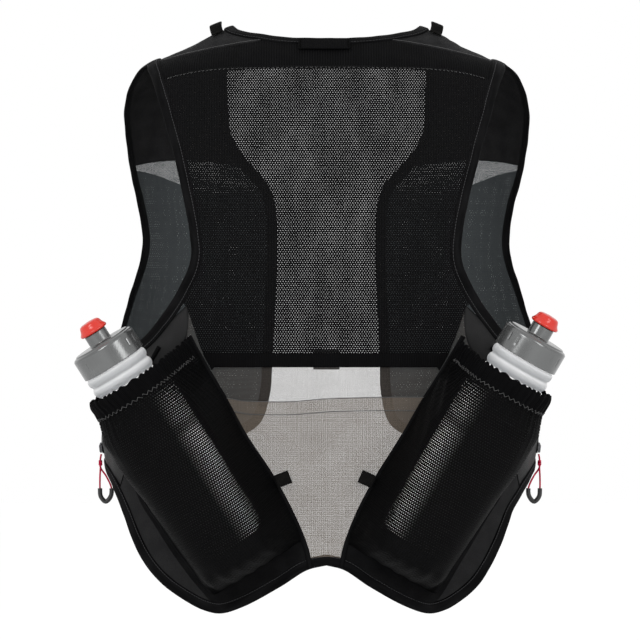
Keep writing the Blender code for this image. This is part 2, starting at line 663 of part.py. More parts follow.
def make_strap_cover(side):
    """Solid cloth over the shoulder, from the yoke to the upper chest."""
    edge = outer_edge(side, EDGE_SEAM)
    seam = shift(outline(YOKE_STRAP_SEAM, side), side * TAPE_GAP)
    top = cut_at(beyond(seam, edge), armhole(side, ARM_SEAM))
    bottom = outline(COVER_LOWER_SEAM, side)
    edge = edge[:len(edge) * 2 // 3]
    inner = between(edge, top[0], bottom[0])
    outer = around(armhole(side, ARM_SEAM), bottom[-1], top[-1])[::-1]
    grid = filled(top, bottom, inner, outer, 5, 13)
    cloth(side_name(side) + "_strap_cover", grid, 0.0, SOLID_CLOTH_THICKNESS, "solid_cloth")


def front_outer_side(side, start, margin):
    """A front piece's outer edge: down the armhole's front seam and the front side seam to the hem."""
    ring = armhole(side, ARM_SEAM + margin)
    seam = beyond(shift(outline(FRONT_SIDE_SEAM, side), side * (SIDE_SEAM_GAP / 2 + margin)), ring)
    upper = around(ring, seam[0], start)[::-1]
    return cut_at(joined(upper, seam[1:]), outer_edge(side, EDGE_SEAM))


def front_grid(side, top, margin, across, down):
    """A grid over the front from a top line down to the hem, a margin inside its seams."""
    edge = outer_edge(side, EDGE_SEAM + margin)
    corner = row(*FRONT_CORNER, side)
    outer = front_outer_side(side, top[-1], margin)
    inner = between(edge, top[0], corner)
    bottom = between(edge, corner, outer[-1])
    return filled(top, bottom, inner, outer, across, down)


def make_front(side):
    """The sheer front panel, the mesh pocket over it and the elastic along the pocket's top."""
    name = side_name(side)
    top = outline(COVER_LOWER_SEAM, side) - np.array([0, TAPE_GAP])
    cloth(name + "_front_panel", front_grid(side, top, 0.0, 5, 10), 0.0, PANEL_TOP, "sheer_mesh")
    top = outline(CHEST_POCKET_TOP, side)
    grid = front_grid(side, top, POCKET_MARGIN, 8, 7)
    low = OVERLAY_LOW + CHEST_POCKET_LIFT
    cloth(name + "_chest_pocket", grid, low, low + PANEL_THICKNESS, "pocket_mesh")
    line = ended(top, grid[0, 0], grid[0, -1])
    line = line[len(line) // 25:-len(line) // 25]
    elastic = ribbon(shift(line, -side * SEAM_GAP), -side * ELASTIC_WIDTH, 6)
    cloth(name + "_pocket_elastic", elastic, low, low + PANEL_THICKNESS + HEM_EXTRA, "edge_tape")


def make_side_panel(side):
    """The smooth side panel below the armhole, and its flange along the holster down to the hem."""
    edge = outer_edge(side, EDGE_SEAM)
    ring = armhole(side, ARM_SEAM)
    aside = side * SIDE_SEAM_GAP / 2
    rear = cut_at(beyond(shift(outline(SIDE_SEAM, side), aside), ring), edge)
    front = cut_at(beyond(shift(outline(FRONT_SIDE_SEAM, side), -aside), ring), edge)
    top = around(ring, rear[0], front[0])
    lower = edge[len(edge) // 2:]
    split = nearest(rear, row(*FLANGE_TOP, side))
    cut = np.linspace(rear[split], lower[nearest(lower, row(*FLANGE_FOOT, side))], 40)
    bottom = between(lower, cut[-1], front[-1])
    grid = filled(top, bottom, joined(rear[:split], cut), front, 8, 7)
    cloth(side_name(side) + "_side_panel", grid, 0.0, PANEL_TOP, "softshell")
    start = cut + side * np.array([-TAPE_GAP / CHEST_HALF_WIDTH, 0.0])
    rear = rear[split + 4:int(len(rear) * FLANGE_END)]
    bottom = between(lower, start[-1], rear[-1])
    tip = np.linspace(rear[-1], bottom[-1], 10)
    grid = filled(rear, bottom, start, tip, 6, 1)
    cloth(side_name(side) + "_side_flange", grid, 0.0, PANEL_TOP, "softshell")


def turned(name, profile, sides, slot, place, closed):
    """A body turned round local Z. The profile holds (radius, height) rows, and is a ring if closed."""
    points, rings = [], []
    for radius, height in profile:
        if radius == 0:
            rings.append([len(points)] * sides)
            points.append((0, 0, height))
            continue
        rings.append(list(range(len(points), len(points) + sides)))
        points += [(radius * math.cos(2 * math.pi * i / sides), radius * math.sin(2 * math.pi * i / sides),
                    height) for i in range(sides)]
    faces = []
    pairs = zip(rings, rings[1:] + rings[:1]) if closed else zip(rings, rings[1:])
    for lower, upper in pairs:
        for i in range(sides):
            j = (i + 1) % sides
            corners = dict.fromkeys((lower[i], lower[j], upper[j], upper[i]))
            if len(corners) > 2:
                faces.append(tuple(corners))
    return add_object(name, points, faces, slot, place)


BODY_END = NECK_LENGTH + BODY_LENGTH
RING_PITCH = 0.0095

# The bottle's outer profile from its neck down: radius as a share of the named size, depth in metres
# below the cap's top face
NECK_PROFILE = (
    (0.98, CAP_HEIGHT + 0.0006), (1.00, CAP_HEIGHT + 0.5 * RING_PITCH), (0.95, CAP_HEIGHT + RING_PITCH),
    (1.01, CAP_HEIGHT + 1.6 * RING_PITCH),
)
SHOULDER_PROFILE = ((0.90, 0.25), (0.975, 0.60), (1.0, 1.0))
SHOULDER_LENGTH = 0.015
FOOT_PROFILE = ((1.0, 0.0), (0.965, 0.55), (0.86, 1.0))
FOOT_LENGTH = 0.012
NECK_RADIUS = (CAP_RADIUS - CAP_WALL) * math.cos(math.pi / BOTTLE_SIDES) - FIT_CLEARANCE


def bottle_profile():
    """The bottle's outer rows of (radius, depth), from the rings below the cap down to the foot."""
    rows = [(share * NECK_RING_RADIUS, depth) for share, depth in NECK_PROFILE]
    start = rows[-1][1]
    rows += [(share * BODY_RADIUS, start + along * SHOULDER_LENGTH) for share, along in SHOULDER_PROFILE]
    rows += [(share * BODY_RADIUS, BODY_END - (1 - along) * FOOT_LENGTH) for share, along in FOOT_PROFILE]
    return rows


def seat_frame(side):
    """The bottle's frame: the cap's top centre, and unit vectors down, inward and outward of its axis."""
    across, down, tilt = [(a, d, t) for s, a, d, t in BOTTLE_SEATS if s == side][0]
    tilt, lean = math.radians(tilt), math.radians(BOTTLE_LEAN_DEG)
    top = np.array([side * across * CHEST_HALF_WIDTH, 0.0, -down * VEST_HEIGHT])
    inward = np.array([-side * math.cos(tilt), 0.0, math.sin(tilt)])
    flat_down = np.array([-side * math.sin(tilt), 0.0, -math.cos(tilt)])
    back = np.array([0.0, -1.0, 0.0])
    axis = math.cos(lean) * flat_down - math.sin(lean) * back
    outward = math.sin(lean) * flat_down + math.cos(lean) * back
    clear = PANEL_TOP + HOLSTER_CLEARANCE
    places = []
    for along in np.linspace(0.3, 1.0, 15) * BODY_END:
        for w in np.linspace(-0.95, 0.95, 13) * BODY_RADIUS:
            under = axis * along + inward * w - outward * math.sqrt(BODY_RADIUS ** 2 - w * w)
            x, _, z = top + under
            surface = torso(back_turn(x, z), z)
            if abs(surface[0] - x) < 0.001:
                places.append(surface[1] - clear - under[1])
    top[1] = min(places)
    return top, axis, inward, outward


def seat_matrix(side):
    """Places a turned body whose local +Z runs out of the bottle's mouth, from the cap's top face."""
    top, axis, inward, outward = seat_frame(side)
    up = -axis
    cross = np.cross(up, inward)
    rotation = Matrix((inward, cross, up)).transposed().to_4x4()
    return Matrix.Translation(Vector(top)) @ rotation


def make_bottle(side):
    """The bottle, its screw cap with the spout, and the nozzle that slides on the spout."""
    name, place = side_name(side), seat_matrix(side)
    neck_top = -CAP_ROOF - FIT_CLEARANCE
    outer = bottle_profile()
    neck_inner = NECK_RADIUS - BOTTLE_WALL
    foot_radius, foot_depth = outer[-1]
    rows = [(neck_inner, neck_top), (NECK_RADIUS, neck_top), (NECK_RADIUS, -outer[0][1])]
    rows += [(radius, -depth) for radius, depth in outer]
    rows += [(0, -foot_depth), (0, -foot_depth + BOTTLE_WALL)]
    rows += [(foot_radius - BOTTLE_WALL, -foot_depth + BOTTLE_WALL)]
    rows += [(BODY_RADIUS - BOTTLE_WALL, FOOT_LENGTH - foot_depth)]
    rows += [(BODY_RADIUS - BOTTLE_WALL, -outer[6][1]), (neck_inner, -outer[3][1])]
    turned(name + "_bottle", rows, BOTTLE_SIDES, "bottle_plastic", place, closed=True)
    skirt = CAP_RADIUS - CAP_WALL
    rows = [
        (SPOUT_BORE_RADIUS, SPOUT_HEIGHT), (SPOUT_RADIUS, SPOUT_HEIGHT), (SPOUT_RADIUS, CAP_STEP),
        (0.88 * CAP_RADIUS, CAP_STEP), (0.93 * CAP_RADIUS, 0.0),
        (CAP_RADIUS, -0.0024), (CAP_RADIUS, -CAP_HEIGHT), (skirt, -CAP_HEIGHT), (skirt, -CAP_ROOF),
        (SPOUT_BORE_RADIUS, -CAP_ROOF),
    ]
    turned(name + "_cap", rows, BOTTLE_SIDES, "cap_plastic", place, closed=True)
    seat = SPOUT_HEIGHT + FIT_CLEARANCE
    stem = SPOUT_BORE_RADIUS - FIT_CLEARANCE
    crown = seat + NOZZLE_HEIGHT
    rows = [
        (NOZZLE_HOLE_RADIUS, crown - 0.0008), (0.28 * NOZZLE_RADIUS, crown),
        (0.62 * NOZZLE_RADIUS, crown - 0.16 * NOZZLE_HEIGHT),
        (0.90 * NOZZLE_RADIUS, crown - 0.46 * NOZZLE_HEIGHT),
        (NOZZLE_RADIUS, crown - 0.74 * NOZZLE_HEIGHT), (0.88 * NOZZLE_RADIUS, seat), (stem, seat),
        (stem, SPOUT_HEIGHT - NOZZLE_STEM_LENGTH),
        (NOZZLE_HOLE_RADIUS, SPOUT_HEIGHT - NOZZLE_STEM_LENGTH),
    ]
    turned(name + "_nozzle", rows, NOZZLE_SIDES, "nozzle_rubber", place, closed=True)


def seam_places(seam, frame, stations, low):
    """Where a seam crosses the bottle's cross-sections, as (inward, outward) rows."""
    top, axis, inward, outward = frame
    turn, z = seam[:, 0], seam[:, 1]
    points = torso(turn, z) + torso_normals(turn, z) * low - top
    along = points @ axis
    order = np.argsort(along)
    across = np.interp(stations, along[order], (points @ inward)[order])
    out = np.interp(stations, along[order], (points @ outward)[order])
    return np.stack([across, out], axis=1)


def taut(inner, outer, radius, count):
    """Points of a taut wrap from the inner seam over a circle at the origin to the outer seam."""
    start_far, end_far = np.hypot(*inner), np.hypot(*outer)
    start = math.atan2(inner[1], inner[0]) + math.acos(min(1, radius / start_far))
    end = math.atan2(outer[1], outer[0])
    end += 2 * math.pi if end < math.pi / 2 else 0
    end -= math.acos(min(1, radius / end_far))
    angles = np.linspace(start, max(end, start + 0.05), 40)
    arc = radius * np.stack([np.cos(angles), np.sin(angles)], axis=1)
    path = np.vstack([inner, arc, outer])
    run = np.concatenate([[0], np.cumsum(np.hypot(*np.diff(path, axis=0).T))])
    places = np.linspace(0, run[-1], count)
    return np.stack([np.interp(places, run, path[:, 0]), np.interp(places, run, path[:, 1])], axis=1)


def lifted(points, least):
    """Points pushed out to at least a distance from the torso surface."""
    x, y, z = points[..., 0], points[..., 1], points[..., 2]
    share = -z / VEST_HEIGHT
    width = np.where(x < 0, LEFT_WIDTH(share), RIGHT_WIDTH(share))
    depth = BACK(share)
    turn = np.arctan2(x / width, -y / depth)
    surface = torso(turn, z)
    normal = torso_normals(turn, z)
    gap = np.sum((points - surface) * normal, axis=-1, keepdims=True)
    return points + normal * np.clip(least - gap, 0, None)


def holster_surface(side, stations, across):
    """The middle surface of the holster's cloth at distances along the bottle's axis."""
    frame = seat_frame(side)
    top, axis, inward, outward = frame
    low = OVERLAY_LOW + HOLSTER_WALL / 2
    inner = seam_places(outline(HOLSTER_INNER_SEAM, side), frame, stations, low)
    outer = seam_places(outline(HOLSTER_OUTER_SEAM, side), frame, stations, low)
    depths = np.array([depth for _, depth in bottle_profile()])
    radii = np.array([radius for radius, _ in bottle_profile()])
    places = (stations - COLLAR_START) / HOLSTER_LENGTH
    fullness = np.interp(places, column(HOLSTER_FULLNESS, FULLNESS_COLUMNS, "along"),
                         FULLNESS * column(HOLSTER_FULLNESS, FULLNESS_COLUMNS, "fullness"))
    reach = np.minimum(stations[:, None] + np.linspace(-1, 1, 9) * COLLAR_HEIGHT / 3, BODY_END - FOOT_LENGTH)
    radius = np.interp(reach, depths, radii).max(axis=1)
    radius = radius + HOLSTER_CLEARANCE + HOLSTER_WALL / 2 + fullness
    end = COLLAR_START + HOLSTER_LENGTH
    drop = np.clip((stations - end + HOLSTER_END_ROUND) / HOLSTER_END_ROUND, 0, 1)
    keep = np.sqrt(np.clip(1 - drop ** 2, 0, 1))
    rows = []
    for i, along in enumerate(stations):
        wrap = taut(inner[i], outer[i], radius[i], across)
        shares = np.linspace(0, 1, across)[:, None]
        line = (1 - shares) * inner[i] + shares * outer[i]
        flat = line + keep[i] * (wrap - line)
        rows.append(top + axis * along + flat[:, :1] * inward + flat[:, 1:] * outward)
    return lifted(np.array(rows), low)


def wall(name, middle, thickness, slot):
    """A wall of even thickness about a grid of points."""
    along = np.gradient(middle, axis=0)
    across = np.gradient(middle, axis=1)
    normal = np.cross(along, across)
    normal /= np.maximum(np.linalg.norm(normal, axis=-1, keepdims=True), 1e-12)
    half = normal * thickness / 2
    points = np.concatenate([(middle + half).reshape(-1, 3), (middle - half).reshape(-1, 3)])
    return add_object(name, points, shell_faces(middle.shape[0], middle.shape[1]), slot)


def make_holster(side):
    """The mesh holster round the bottle and its gathered elastic collar."""
    name = side_name(side)
    collar_end = COLLAR_START + COLLAR_HEIGHT
    stations = np.linspace(COLLAR_START, collar_end, 3)
    wall(name + "_holster_collar", holster_surface(side, stations, 17), HOLSTER_WALL, "edge_tape")
    end = COLLAR_START + HOLSTER_LENGTH
    shares = np.array([0.0, 0.11, 0.25, 0.43, 0.62, 0.8, 0.92, 0.97, 1.0])
    stations = collar_end + SEAM_GAP + (end - collar_end - SEAM_GAP) * shares
    wall(name + "_holster", holster_surface(side, stations, 17), HOLSTER_WALL, "pocket_mesh")


def make_lumbar_pocket():
    """The sheer layer over the lower back between the holsters, with its top band."""
    sides = []
    for side in SIDES:
        seam = outline(HOLSTER_INNER_SEAM, side)
        seam = shift(seam, -side * HOLSTER_MARGIN)
        start = nearest(seam, row(*LUMBAR_TOP[-1], side))
        sides.append(cut_at(seam[start:], outer_edge(side, EDGE_SEAM)))
    top = outline(LUMBAR_TOP)
    bottom = hem_between(sides[0][-1], sides[1][-1])
    grid = filled(top, bottom, sides[0], sides[1], 7, 7)
    places = torso(grid[:, 0, 0], grid[:, 0, 1])
    run = np.cumsum(np.linalg.norm(np.diff(places, axis=0), axis=1))
    split = 1 + int(np.argmin(np.abs(run - LUMBAR_BAND_WIDTH)))
    band = grid[:split + 1]
    lower = grid[split:].copy()
    lower[0, :, 1] -= SEAM_GAP
    cloth("lumbar_band", band, OVERLAY_LOW, OVERLAY_TOP, "sheer_mesh")
    cloth("lumbar_pocket", lower, OVERLAY_LOW, OVERLAY_TOP, "sheer_mesh")


def local_frame(turn, z, heading):
    """A frame on the torso surface: along the heading, across it and outward."""
    point = torso(turn, z)
    normal = torso_normals(turn, z)
    ahead = torso(turn + heading[0], z + heading[1]) - point
    ahead -= normal * (ahead @ normal)
    ahead /= np.linalg.norm(ahead)
    return point, ahead, np.cross(normal, ahead), normal


def frame_matrix(point, first, second, third):
    return Matrix.Translation(Vector(point)) @ Matrix((first, second, third)).transposed().to_4x4()


def extruded(name, profile, width, slot, place):
    """A flat profile of (along, height) rows, drawn out evenly to both sides."""
    count = len(profile)
    points = [(x, y, z) for y in (-width / 2, width / 2) for x, z in profile]
    faces = [tuple(range(count)), tuple(reversed(range(count, 2 * count)))]
    faces += [(i, i + count, (i + 1) % count + count, (i + 1) % count) for i in range(count)]
    return add_object(name, points, faces, slot, place)


def make_tab_loop(side):
    """A folded webbing loop that stands out of the holster's inner seam, flat on the back."""
    turn, z = row(*TAB_PLACE, side)
    frame = local_frame(turn, z, (-side * 0.01, TAB_SLOPE))
    low = OVERLAY_TOP + JOINT_GAP
    fold = TAB_LENGTH - TAB_WALL
    high = low + 2 * TAB_WALL + TAB_OPENING
    profile = ((0, low), (TAB_LENGTH - 0.0006, low), (TAB_LENGTH, low + 0.0006), (TAB_LENGTH, high - 0.0006),
               (TAB_LENGTH - 0.0006, high), (0, high), (0, high - TAB_WALL), (fold, high - TAB_WALL),
               (fold, low + TAB_WALL), (0, low + TAB_WALL))
    extruded(side_name(side) + "_tab_loop", profile, TAB_WIDTH, "webbing", frame_matrix(*frame))


def make_shoulder_loop(side):
    """A webbing loop that arches over the shoulder seam."""
    line = outline(SHOULDER_LOOP_LINE, side)
    grid = ribbon(shift(line, side * LOOP_WIDTH / 2), -side * LOOP_WIDTH, 13)
    shares = np.linspace(0, 1, 13)
    arch = np.clip(np.minimum(shares, 1 - shares) * 5 - 0.55, 0, 1)
    low = TAPE_THICKNESS + JOINT_GAP + LOOP_HEIGHT * arch * arch * (3 - 2 * arch)
    cloth(side_name(side) + "_shoulder_loop", grid, low, low + STRAP_THICKNESS, "webbing")


def make_zip(side):
    """The side pocket's zip with its slider, red cord, knot and black grip."""
    name = side_name(side)
    line = outline(ZIP_LINE, side)
    grid = ribbon(shift(line, side * ZIP_WIDTH / 2), -side * ZIP_WIDTH, 7)
    zip_low = PANEL_TOP + JOINT_GAP
    cloth(name + "_zip", grid, zip_low, zip_low + ZIP_THICKNESS, "black_plastic")
    frame = local_frame(*line[16], line[80] - line[16])
    low = zip_low + ZIP_THICKNESS + JOINT_GAP
    high = low + SLIDER_THICKNESS
    profile = ((-0.1 * SLIDER_LENGTH, low), (0.9 * SLIDER_LENGTH, low), (0.9 * SLIDER_LENGTH, low + 0.0010),
               (0.6 * SLIDER_LENGTH, high), (0.0, high), (-0.1 * SLIDER_LENGTH, high - 0.0006))
    extruded(name + "_slider", profile, SLIDER_WIDTH, "slider_metal", frame_matrix(*frame))
    point, _, _, normal = frame
    eye = point + normal * (high - CORD_DIAMETER)
    eye[2] = (point - 0.1 * SLIDER_LENGTH * frame[1])[2] - 2 * SEAM_GAP
    route = [(eye[0] + side * out, eye[1] + along, eye[2] - down) for out, along, down in PULL_ROUTE]
    path = spline(route, count=400)
    run = np.concatenate([[0], np.cumsum(np.linalg.norm(np.diff(path, axis=0), axis=1))])
    places = np.linspace(0, run[-1], CORD_POINTS)
    path = np.stack([np.interp(places, run, path[:, i]) for i in range(3)], axis=1)
    make_cord(name + "_pull_cord", path)
    held = path[path[:, 2] < eye[2] - GRIP_START]
    make_grip(name + "_grip", held)
    make_knot(name + "_knot", eye, side)


def make_cord(name, path):
    curve = bpy.data.curves.new(name, "CURVE")
    curve.dimensions = "3D"
    curve.bevel_depth = CORD_DIAMETER / 2
    curve.bevel_resolution = 2
    curve.use_fill_caps = True
    line = curve.splines.new("POLY")
    line.points.add(len(path) - 1)
    for point, place in zip(line.points, path):
        point.co = (*place, 1.0)
    curve.materials.append(material("pull_cord"))
    bpy.context.collection.objects.link(bpy.data.objects.new(name, curve))


def make_grip(name, path):
    """A hollow U round the cord, with the cord running through it."""
    sides = 8
    ahead = np.gradient(path, axis=0)
    ahead /= np.linalg.norm(ahead, axis=1, keepdims=True)
    first = np.array([0.0, 1.0, 0.0]) - ahead * ahead[:, 1:2]
    first /= np.linalg.norm(first, axis=1, keepdims=True)
    second = np.cross(ahead, first)
    angles = np.linspace(0, 2 * math.pi, sides, endpoint=False)
    ring = np.cos(angles)[None, :, None] * first[:, None] + np.sin(angles)[None, :, None] * second[:, None]
    outer = path[:, None] + ring * GRIP_DIAMETER / 2
    inner = path[:, None] + ring * (CORD_DIAMETER / 2 + GRIP_BORE_CLEARANCE) / math.cos(math.pi / sides)
    points = np.concatenate([outer.reshape(-1, 3), inner.reshape(-1, 3)])
    add_object(name, points, shell_faces(len(path), sides, ring=True), "grip_rubber")


def make_knot(name, eye, side):
    """A short sleeve that holds the cord's two strands together."""
    sides = 8
    centre = Vector((eye[0] + side * PULL_ROUTE[1][0], eye[1], eye[2] - KNOT_DROP))
    spread = abs(PULL_ROUTE[1][1])
    clear = CORD_DIAMETER / 2 + JOINT_GAP
    points = []
    for extra in (KNOT_WALL, 0.0):
        for end in (-0.5, 0.5):
            for i in range(sides):
                angle = 2 * math.pi * i / sides
                points.append(((clear * 1.25 + extra) * math.cos(angle),
                               (spread * 1.15 + clear * 1.1 + extra) * math.sin(angle), end * KNOT_LENGTH))
    add_object(name, points, shell_faces(2, sides, ring=True), "pull_cord", Matrix.Translation(centre))


def make_sternum_strap():
    """Webbing from both fronts to one plain clasp at the middle."""
    height = -STRAP_HEIGHT_SHARE * VEST_HEIGHT
    low = TAPE_THICKNESS + JOINT_GAP
    middle = torso(math.pi, height)
    half_gap = (CLASP_LENGTH / 2 + JOINT_GAP) / CHEST_HALF_WIDTH
    for side in SIDES:
        turns = np.linspace(math.radians(STRAP_START_TURN), math.pi - half_gap, 8)
        line = np.stack([side * turns, np.full(8, height + STRAP_WIDTH / 2)], axis=1)
        grid = ribbon(line, -side * STRAP_WIDTH, 5)
        cloth(side_name(side) + "_sternum_strap", grid, low, low + STRAP_THICKNESS, "webbing")
    place = Matrix.Translation(Vector((0, middle[1] + low + STRAP_THICKNESS / 2, height)))
    half = CLASP_THICKNESS / 2
    bevel = 0.0012
    profile = ((-CLASP_LENGTH / 2, -half), (CLASP_LENGTH / 2, -half), (CLASP_LENGTH / 2, half - bevel),
               (CLASP_LENGTH / 2 - bevel, half), (bevel - CLASP_LENGTH / 2, half),
               (-CLASP_LENGTH / 2, half - bevel))
    turned_place = place @ Matrix.Rotation(-math.pi / 2, 4, "X")
    extruded("sternum_clasp", profile, CLASP_HEIGHT, "black_plastic", turned_place)


def main():
    for item in list(bpy.data.objects):
        bpy.data.objects.remove(item, do_unlink=True)
    make_back_panel()
    make_back_yoke()
    make_back_pocket()
    make_tube_port()
    make_edge_tapes()
    make_lumbar_pocket()
    make_sternum_strap()
    for side in SIDES:
        make_armhole_binding(side)
        make_strap_cover(side)
        make_front(side)
        make_side_panel(side)
        make_bottle(side)
        make_holster(side)
        make_tab_loop(side)
        make_shoulder_loop(side)
        make_zip(side)


main()
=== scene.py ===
# Looks of the running hydration vest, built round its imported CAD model, in metres, +Z up.
#
# The wearer faces +Y and the camera looks along +Y at the back. Cloth pieces are regions of one torso
# surface, written as a turn round the body and a height, and carry cloth coordinates in metres.

import json
import math
import random

import bpy
import numpy as np
from mathutils import Matrix, Vector

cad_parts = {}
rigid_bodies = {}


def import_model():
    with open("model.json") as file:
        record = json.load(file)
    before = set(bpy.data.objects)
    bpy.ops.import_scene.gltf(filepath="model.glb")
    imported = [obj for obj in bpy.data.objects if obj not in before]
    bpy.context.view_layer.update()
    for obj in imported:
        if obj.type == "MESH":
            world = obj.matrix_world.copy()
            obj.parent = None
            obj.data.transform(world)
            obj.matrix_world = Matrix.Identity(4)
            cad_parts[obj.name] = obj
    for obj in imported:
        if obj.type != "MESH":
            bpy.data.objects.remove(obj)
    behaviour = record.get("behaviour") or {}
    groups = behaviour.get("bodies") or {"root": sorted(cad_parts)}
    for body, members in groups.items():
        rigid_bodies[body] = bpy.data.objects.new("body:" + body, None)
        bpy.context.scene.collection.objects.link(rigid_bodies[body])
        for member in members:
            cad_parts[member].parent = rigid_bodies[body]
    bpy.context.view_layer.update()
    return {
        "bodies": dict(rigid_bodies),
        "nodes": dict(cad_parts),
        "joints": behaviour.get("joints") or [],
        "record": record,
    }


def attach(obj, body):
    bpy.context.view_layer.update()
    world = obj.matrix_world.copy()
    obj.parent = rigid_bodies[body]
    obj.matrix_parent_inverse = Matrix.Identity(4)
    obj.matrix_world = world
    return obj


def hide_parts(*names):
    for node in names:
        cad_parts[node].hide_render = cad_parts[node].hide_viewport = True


# Overall sizes of the vest
VEST_HEIGHT = 0.528
CHEST_HALF_WIDTH = 0.184
BACK_DEPTH = 0.112
FRONT_DEPTH = 0.115
SECTION_POWER = 2.4

# Cloth and tape
PANEL_THICKNESS = 0.0010
SOLID_CLOTH_THICKNESS = 0.0016
TAPE_THICKNESS = 0.0030
LAYER_GAP = 0.0012
TAPE_GAP = -0.0015
SIDE_SEAM_GAP = -0.0020
JOINT_GAP = 0.0006
ARMHOLE_TAPE_WIDTH = 0.011
EDGE_TAPE_WIDTH = 0.010
POCKET_HEM_WIDTH = 0.0125
LUMBAR_BAND_WIDTH = 0.015
ELASTIC_WIDTH = 0.005
ZIP_WIDTH = 0.006
ZIP_THICKNESS = 0.0012

# Bottle, cap and nozzle, measured from the cap's top face
CAP_RADIUS = 0.0305
CAP_HEIGHT = 0.020
CAP_STEP = 0.0025
SPOUT_RADIUS = 0.0105
SPOUT_HEIGHT = 0.013
SPOUT_BORE_RADIUS = 0.0070
NECK_LENGTH = 0.0195
NECK_RING_RADIUS = 0.0298
BODY_RADIUS = 0.0365
BODY_LENGTH = 0.194
FIT_CLEARANCE = 0.0004
NOZZLE_RADIUS = 0.0132
NOZZLE_HEIGHT = 0.0105
NOZZLE_HOLE_RADIUS = 0.0017
BOTTLE_LEAN_DEG = 4.0

# Holster
HOLSTER_WALL = 0.0010
HOLSTER_CLEARANCE = 0.0008
COLLAR_HEIGHT = 0.0175
COLLAR_START = 0.039
HOLSTER_SPARE = 0.014
HOLSTER_LENGTH = BODY_LENGTH + HOLSTER_SPARE
HOLSTER_END_ROUND = 0.022

# Small parts
TAB_LENGTH = 0.013
TAB_WIDTH = 0.012
TAB_WALL = 0.0012
TAB_OPENING = 0.0030
LOOP_WIDTH = 0.012
LOOP_HEIGHT = 0.0050
STRAP_WIDTH = 0.010
STRAP_THICKNESS = 0.0014
CLASP_LENGTH = 0.024
SLIDER_LENGTH = 0.009
SLIDER_THICKNESS = 0.0024
CORD_DIAMETER = 0.0016
GRIP_DIAMETER = 0.0042

# Torso sections. Heights are shares of VEST_HEIGHT below the shoulder tops, widths are shares of
# CHEST_HALF_WIDTH and depths are shares of BACK_DEPTH and FRONT_DEPTH.
TORSO_SECTIONS = (
    (-0.006, 0.413, 0.413, 0.143, 0.139),
    (0.000, 0.467, 0.467, 0.232, 0.226),
    (0.009, 0.538, 0.538, 0.321, 0.304),
    (0.022, 0.609, 0.609, 0.446, 0.400),
    (0.036, 0.685, 0.680, 0.536, 0.478),
    (0.049, 0.777, 0.766, 0.607, 0.539),
    (0.063, 0.870, 0.864, 0.670, 0.591),
    (0.076, 0.918, 0.918, 0.723, 0.643),
    (0.091, 0.951, 0.951, 0.777, 0.687),
    (0.117, 0.984, 0.984, 0.848, 0.765),
    (0.152, 1.000, 1.005, 0.911, 0.843),
    (0.227, 0.984, 0.989, 0.982, 0.957),
    (0.303, 0.962, 0.957, 1.000, 1.000),
    (0.379, 0.951, 0.946, 0.991, 1.000),
    (0.455, 0.978, 0.973, 0.955, 0.974),
    (0.530, 1.016, 1.011, 0.911, 0.939),
    (0.625, 1.065, 1.033, 0.857, 0.904),
    (0.705, 1.090, 1.027, 0.821, 0.878),
    (0.777, 1.068, 1.000, 0.804, 0.870),
    (0.833, 1.062, 0.967, 0.804, 0.870),
    (0.909, 1.071, 0.973, 0.821, 0.870),
    (1.000, 1.038, 1.000, 0.857, 0.870),
    (1.060, 1.022, 1.000, 0.875, 0.870),
)

# Outlines on the torso surface: turn in degrees, height as a share of VEST_HEIGHT
ARMHOLE_EDGE = (
    (84.0, 0.0660), (70.0, 0.0720), (58.0, 0.0930), (50.5, 0.1330), (46.5, 0.1900), (44.5, 0.2400),
    (43.0, 0.2900), (41.3, 0.3500), (41.0, 0.3970), (44.0, 0.4430), (49.0, 0.4870), (56.5, 0.5290),
    (68.0, 0.5530), (82.0, 0.5560), (94.0, 0.5380), (101.5, 0.4950), (106.0, 0.4550), (111.5, 0.4050),
    (114.0, 0.3620), (112.0, 0.3100), (107.5, 0.2540), (105.0, 0.2000), (103.0, 0.1450), (99.0, 0.1000),
    (93.0, 0.0740),
)
OUTER_EDGE = (
    (0.0, 0.0205), (10.0, 0.0203), (20.0, 0.0185), (32.0, 0.0136), (48.0, 0.0070), (66.0, 0.0005),
    (90.0, -0.0017), (110.0, 0.0005), (126.0, 0.0080), (138.0, 0.0220), (146.0, 0.0480), (150.0, 0.0850),
    (152.0, 0.1300), (152.8, 0.1750), (155.0, 0.2050), (159.0, 0.2350), (163.0, 0.2640), (165.0, 0.3000),
    (165.4, 0.3800), (165.4, 0.4700), (165.3, 0.5600), (165.0, 0.6300), (162.5, 0.6800), (156.0, 0.7040),
    (142.0, 0.7180), (122.0, 0.7340), (104.0, 0.7480), (90.0, 0.7570), (80.0, 0.7670), (71.5, 0.7900),
    (65.5, 0.8200), (60.5, 0.8550), (55.5, 0.8900), (50.5, 0.9230), (45.0, 0.9530), (39.0, 0.9770),
    (33.5, 0.9940), (28.5, 1.0000), (22.0, 0.9880), (12.0, 0.9540), (5.0, 0.9260), (0.0, 0.9180),
)
YOKE_STRAP_SEAM = ((30.0, 0.0240), (38.0, 0.0285), (56.0, 0.0430), (70.0, 0.0590))
YOKE_LOWER_SEAM = ((52.0, 0.0900), (42.0, 0.0790), (33.0, 0.0735), (17.0, 0.0710), (0.0, 0.0700))
SIDE_SEAM = (
    (40.5, 0.4700), (40.0, 0.5300), (45.0, 0.5900), (52.5, 0.6500), (57.5, 0.7050), (57.8, 0.7550),
    (52.0, 0.8050), (44.5, 0.8550), (37.5, 0.9050), (32.5, 0.9450), (30.0, 0.9780),
)
FRONT_SIDE_SEAM = ((101.0, 0.5050), (104.0, 0.5800), (106.0, 0.6600), (106.0, 0.7360))
COVER_LOWER_SEAM = ((156.2, 0.2340), (148.0, 0.2270), (138.0, 0.2230), (126.0, 0.2260), (110.5, 0.2340))
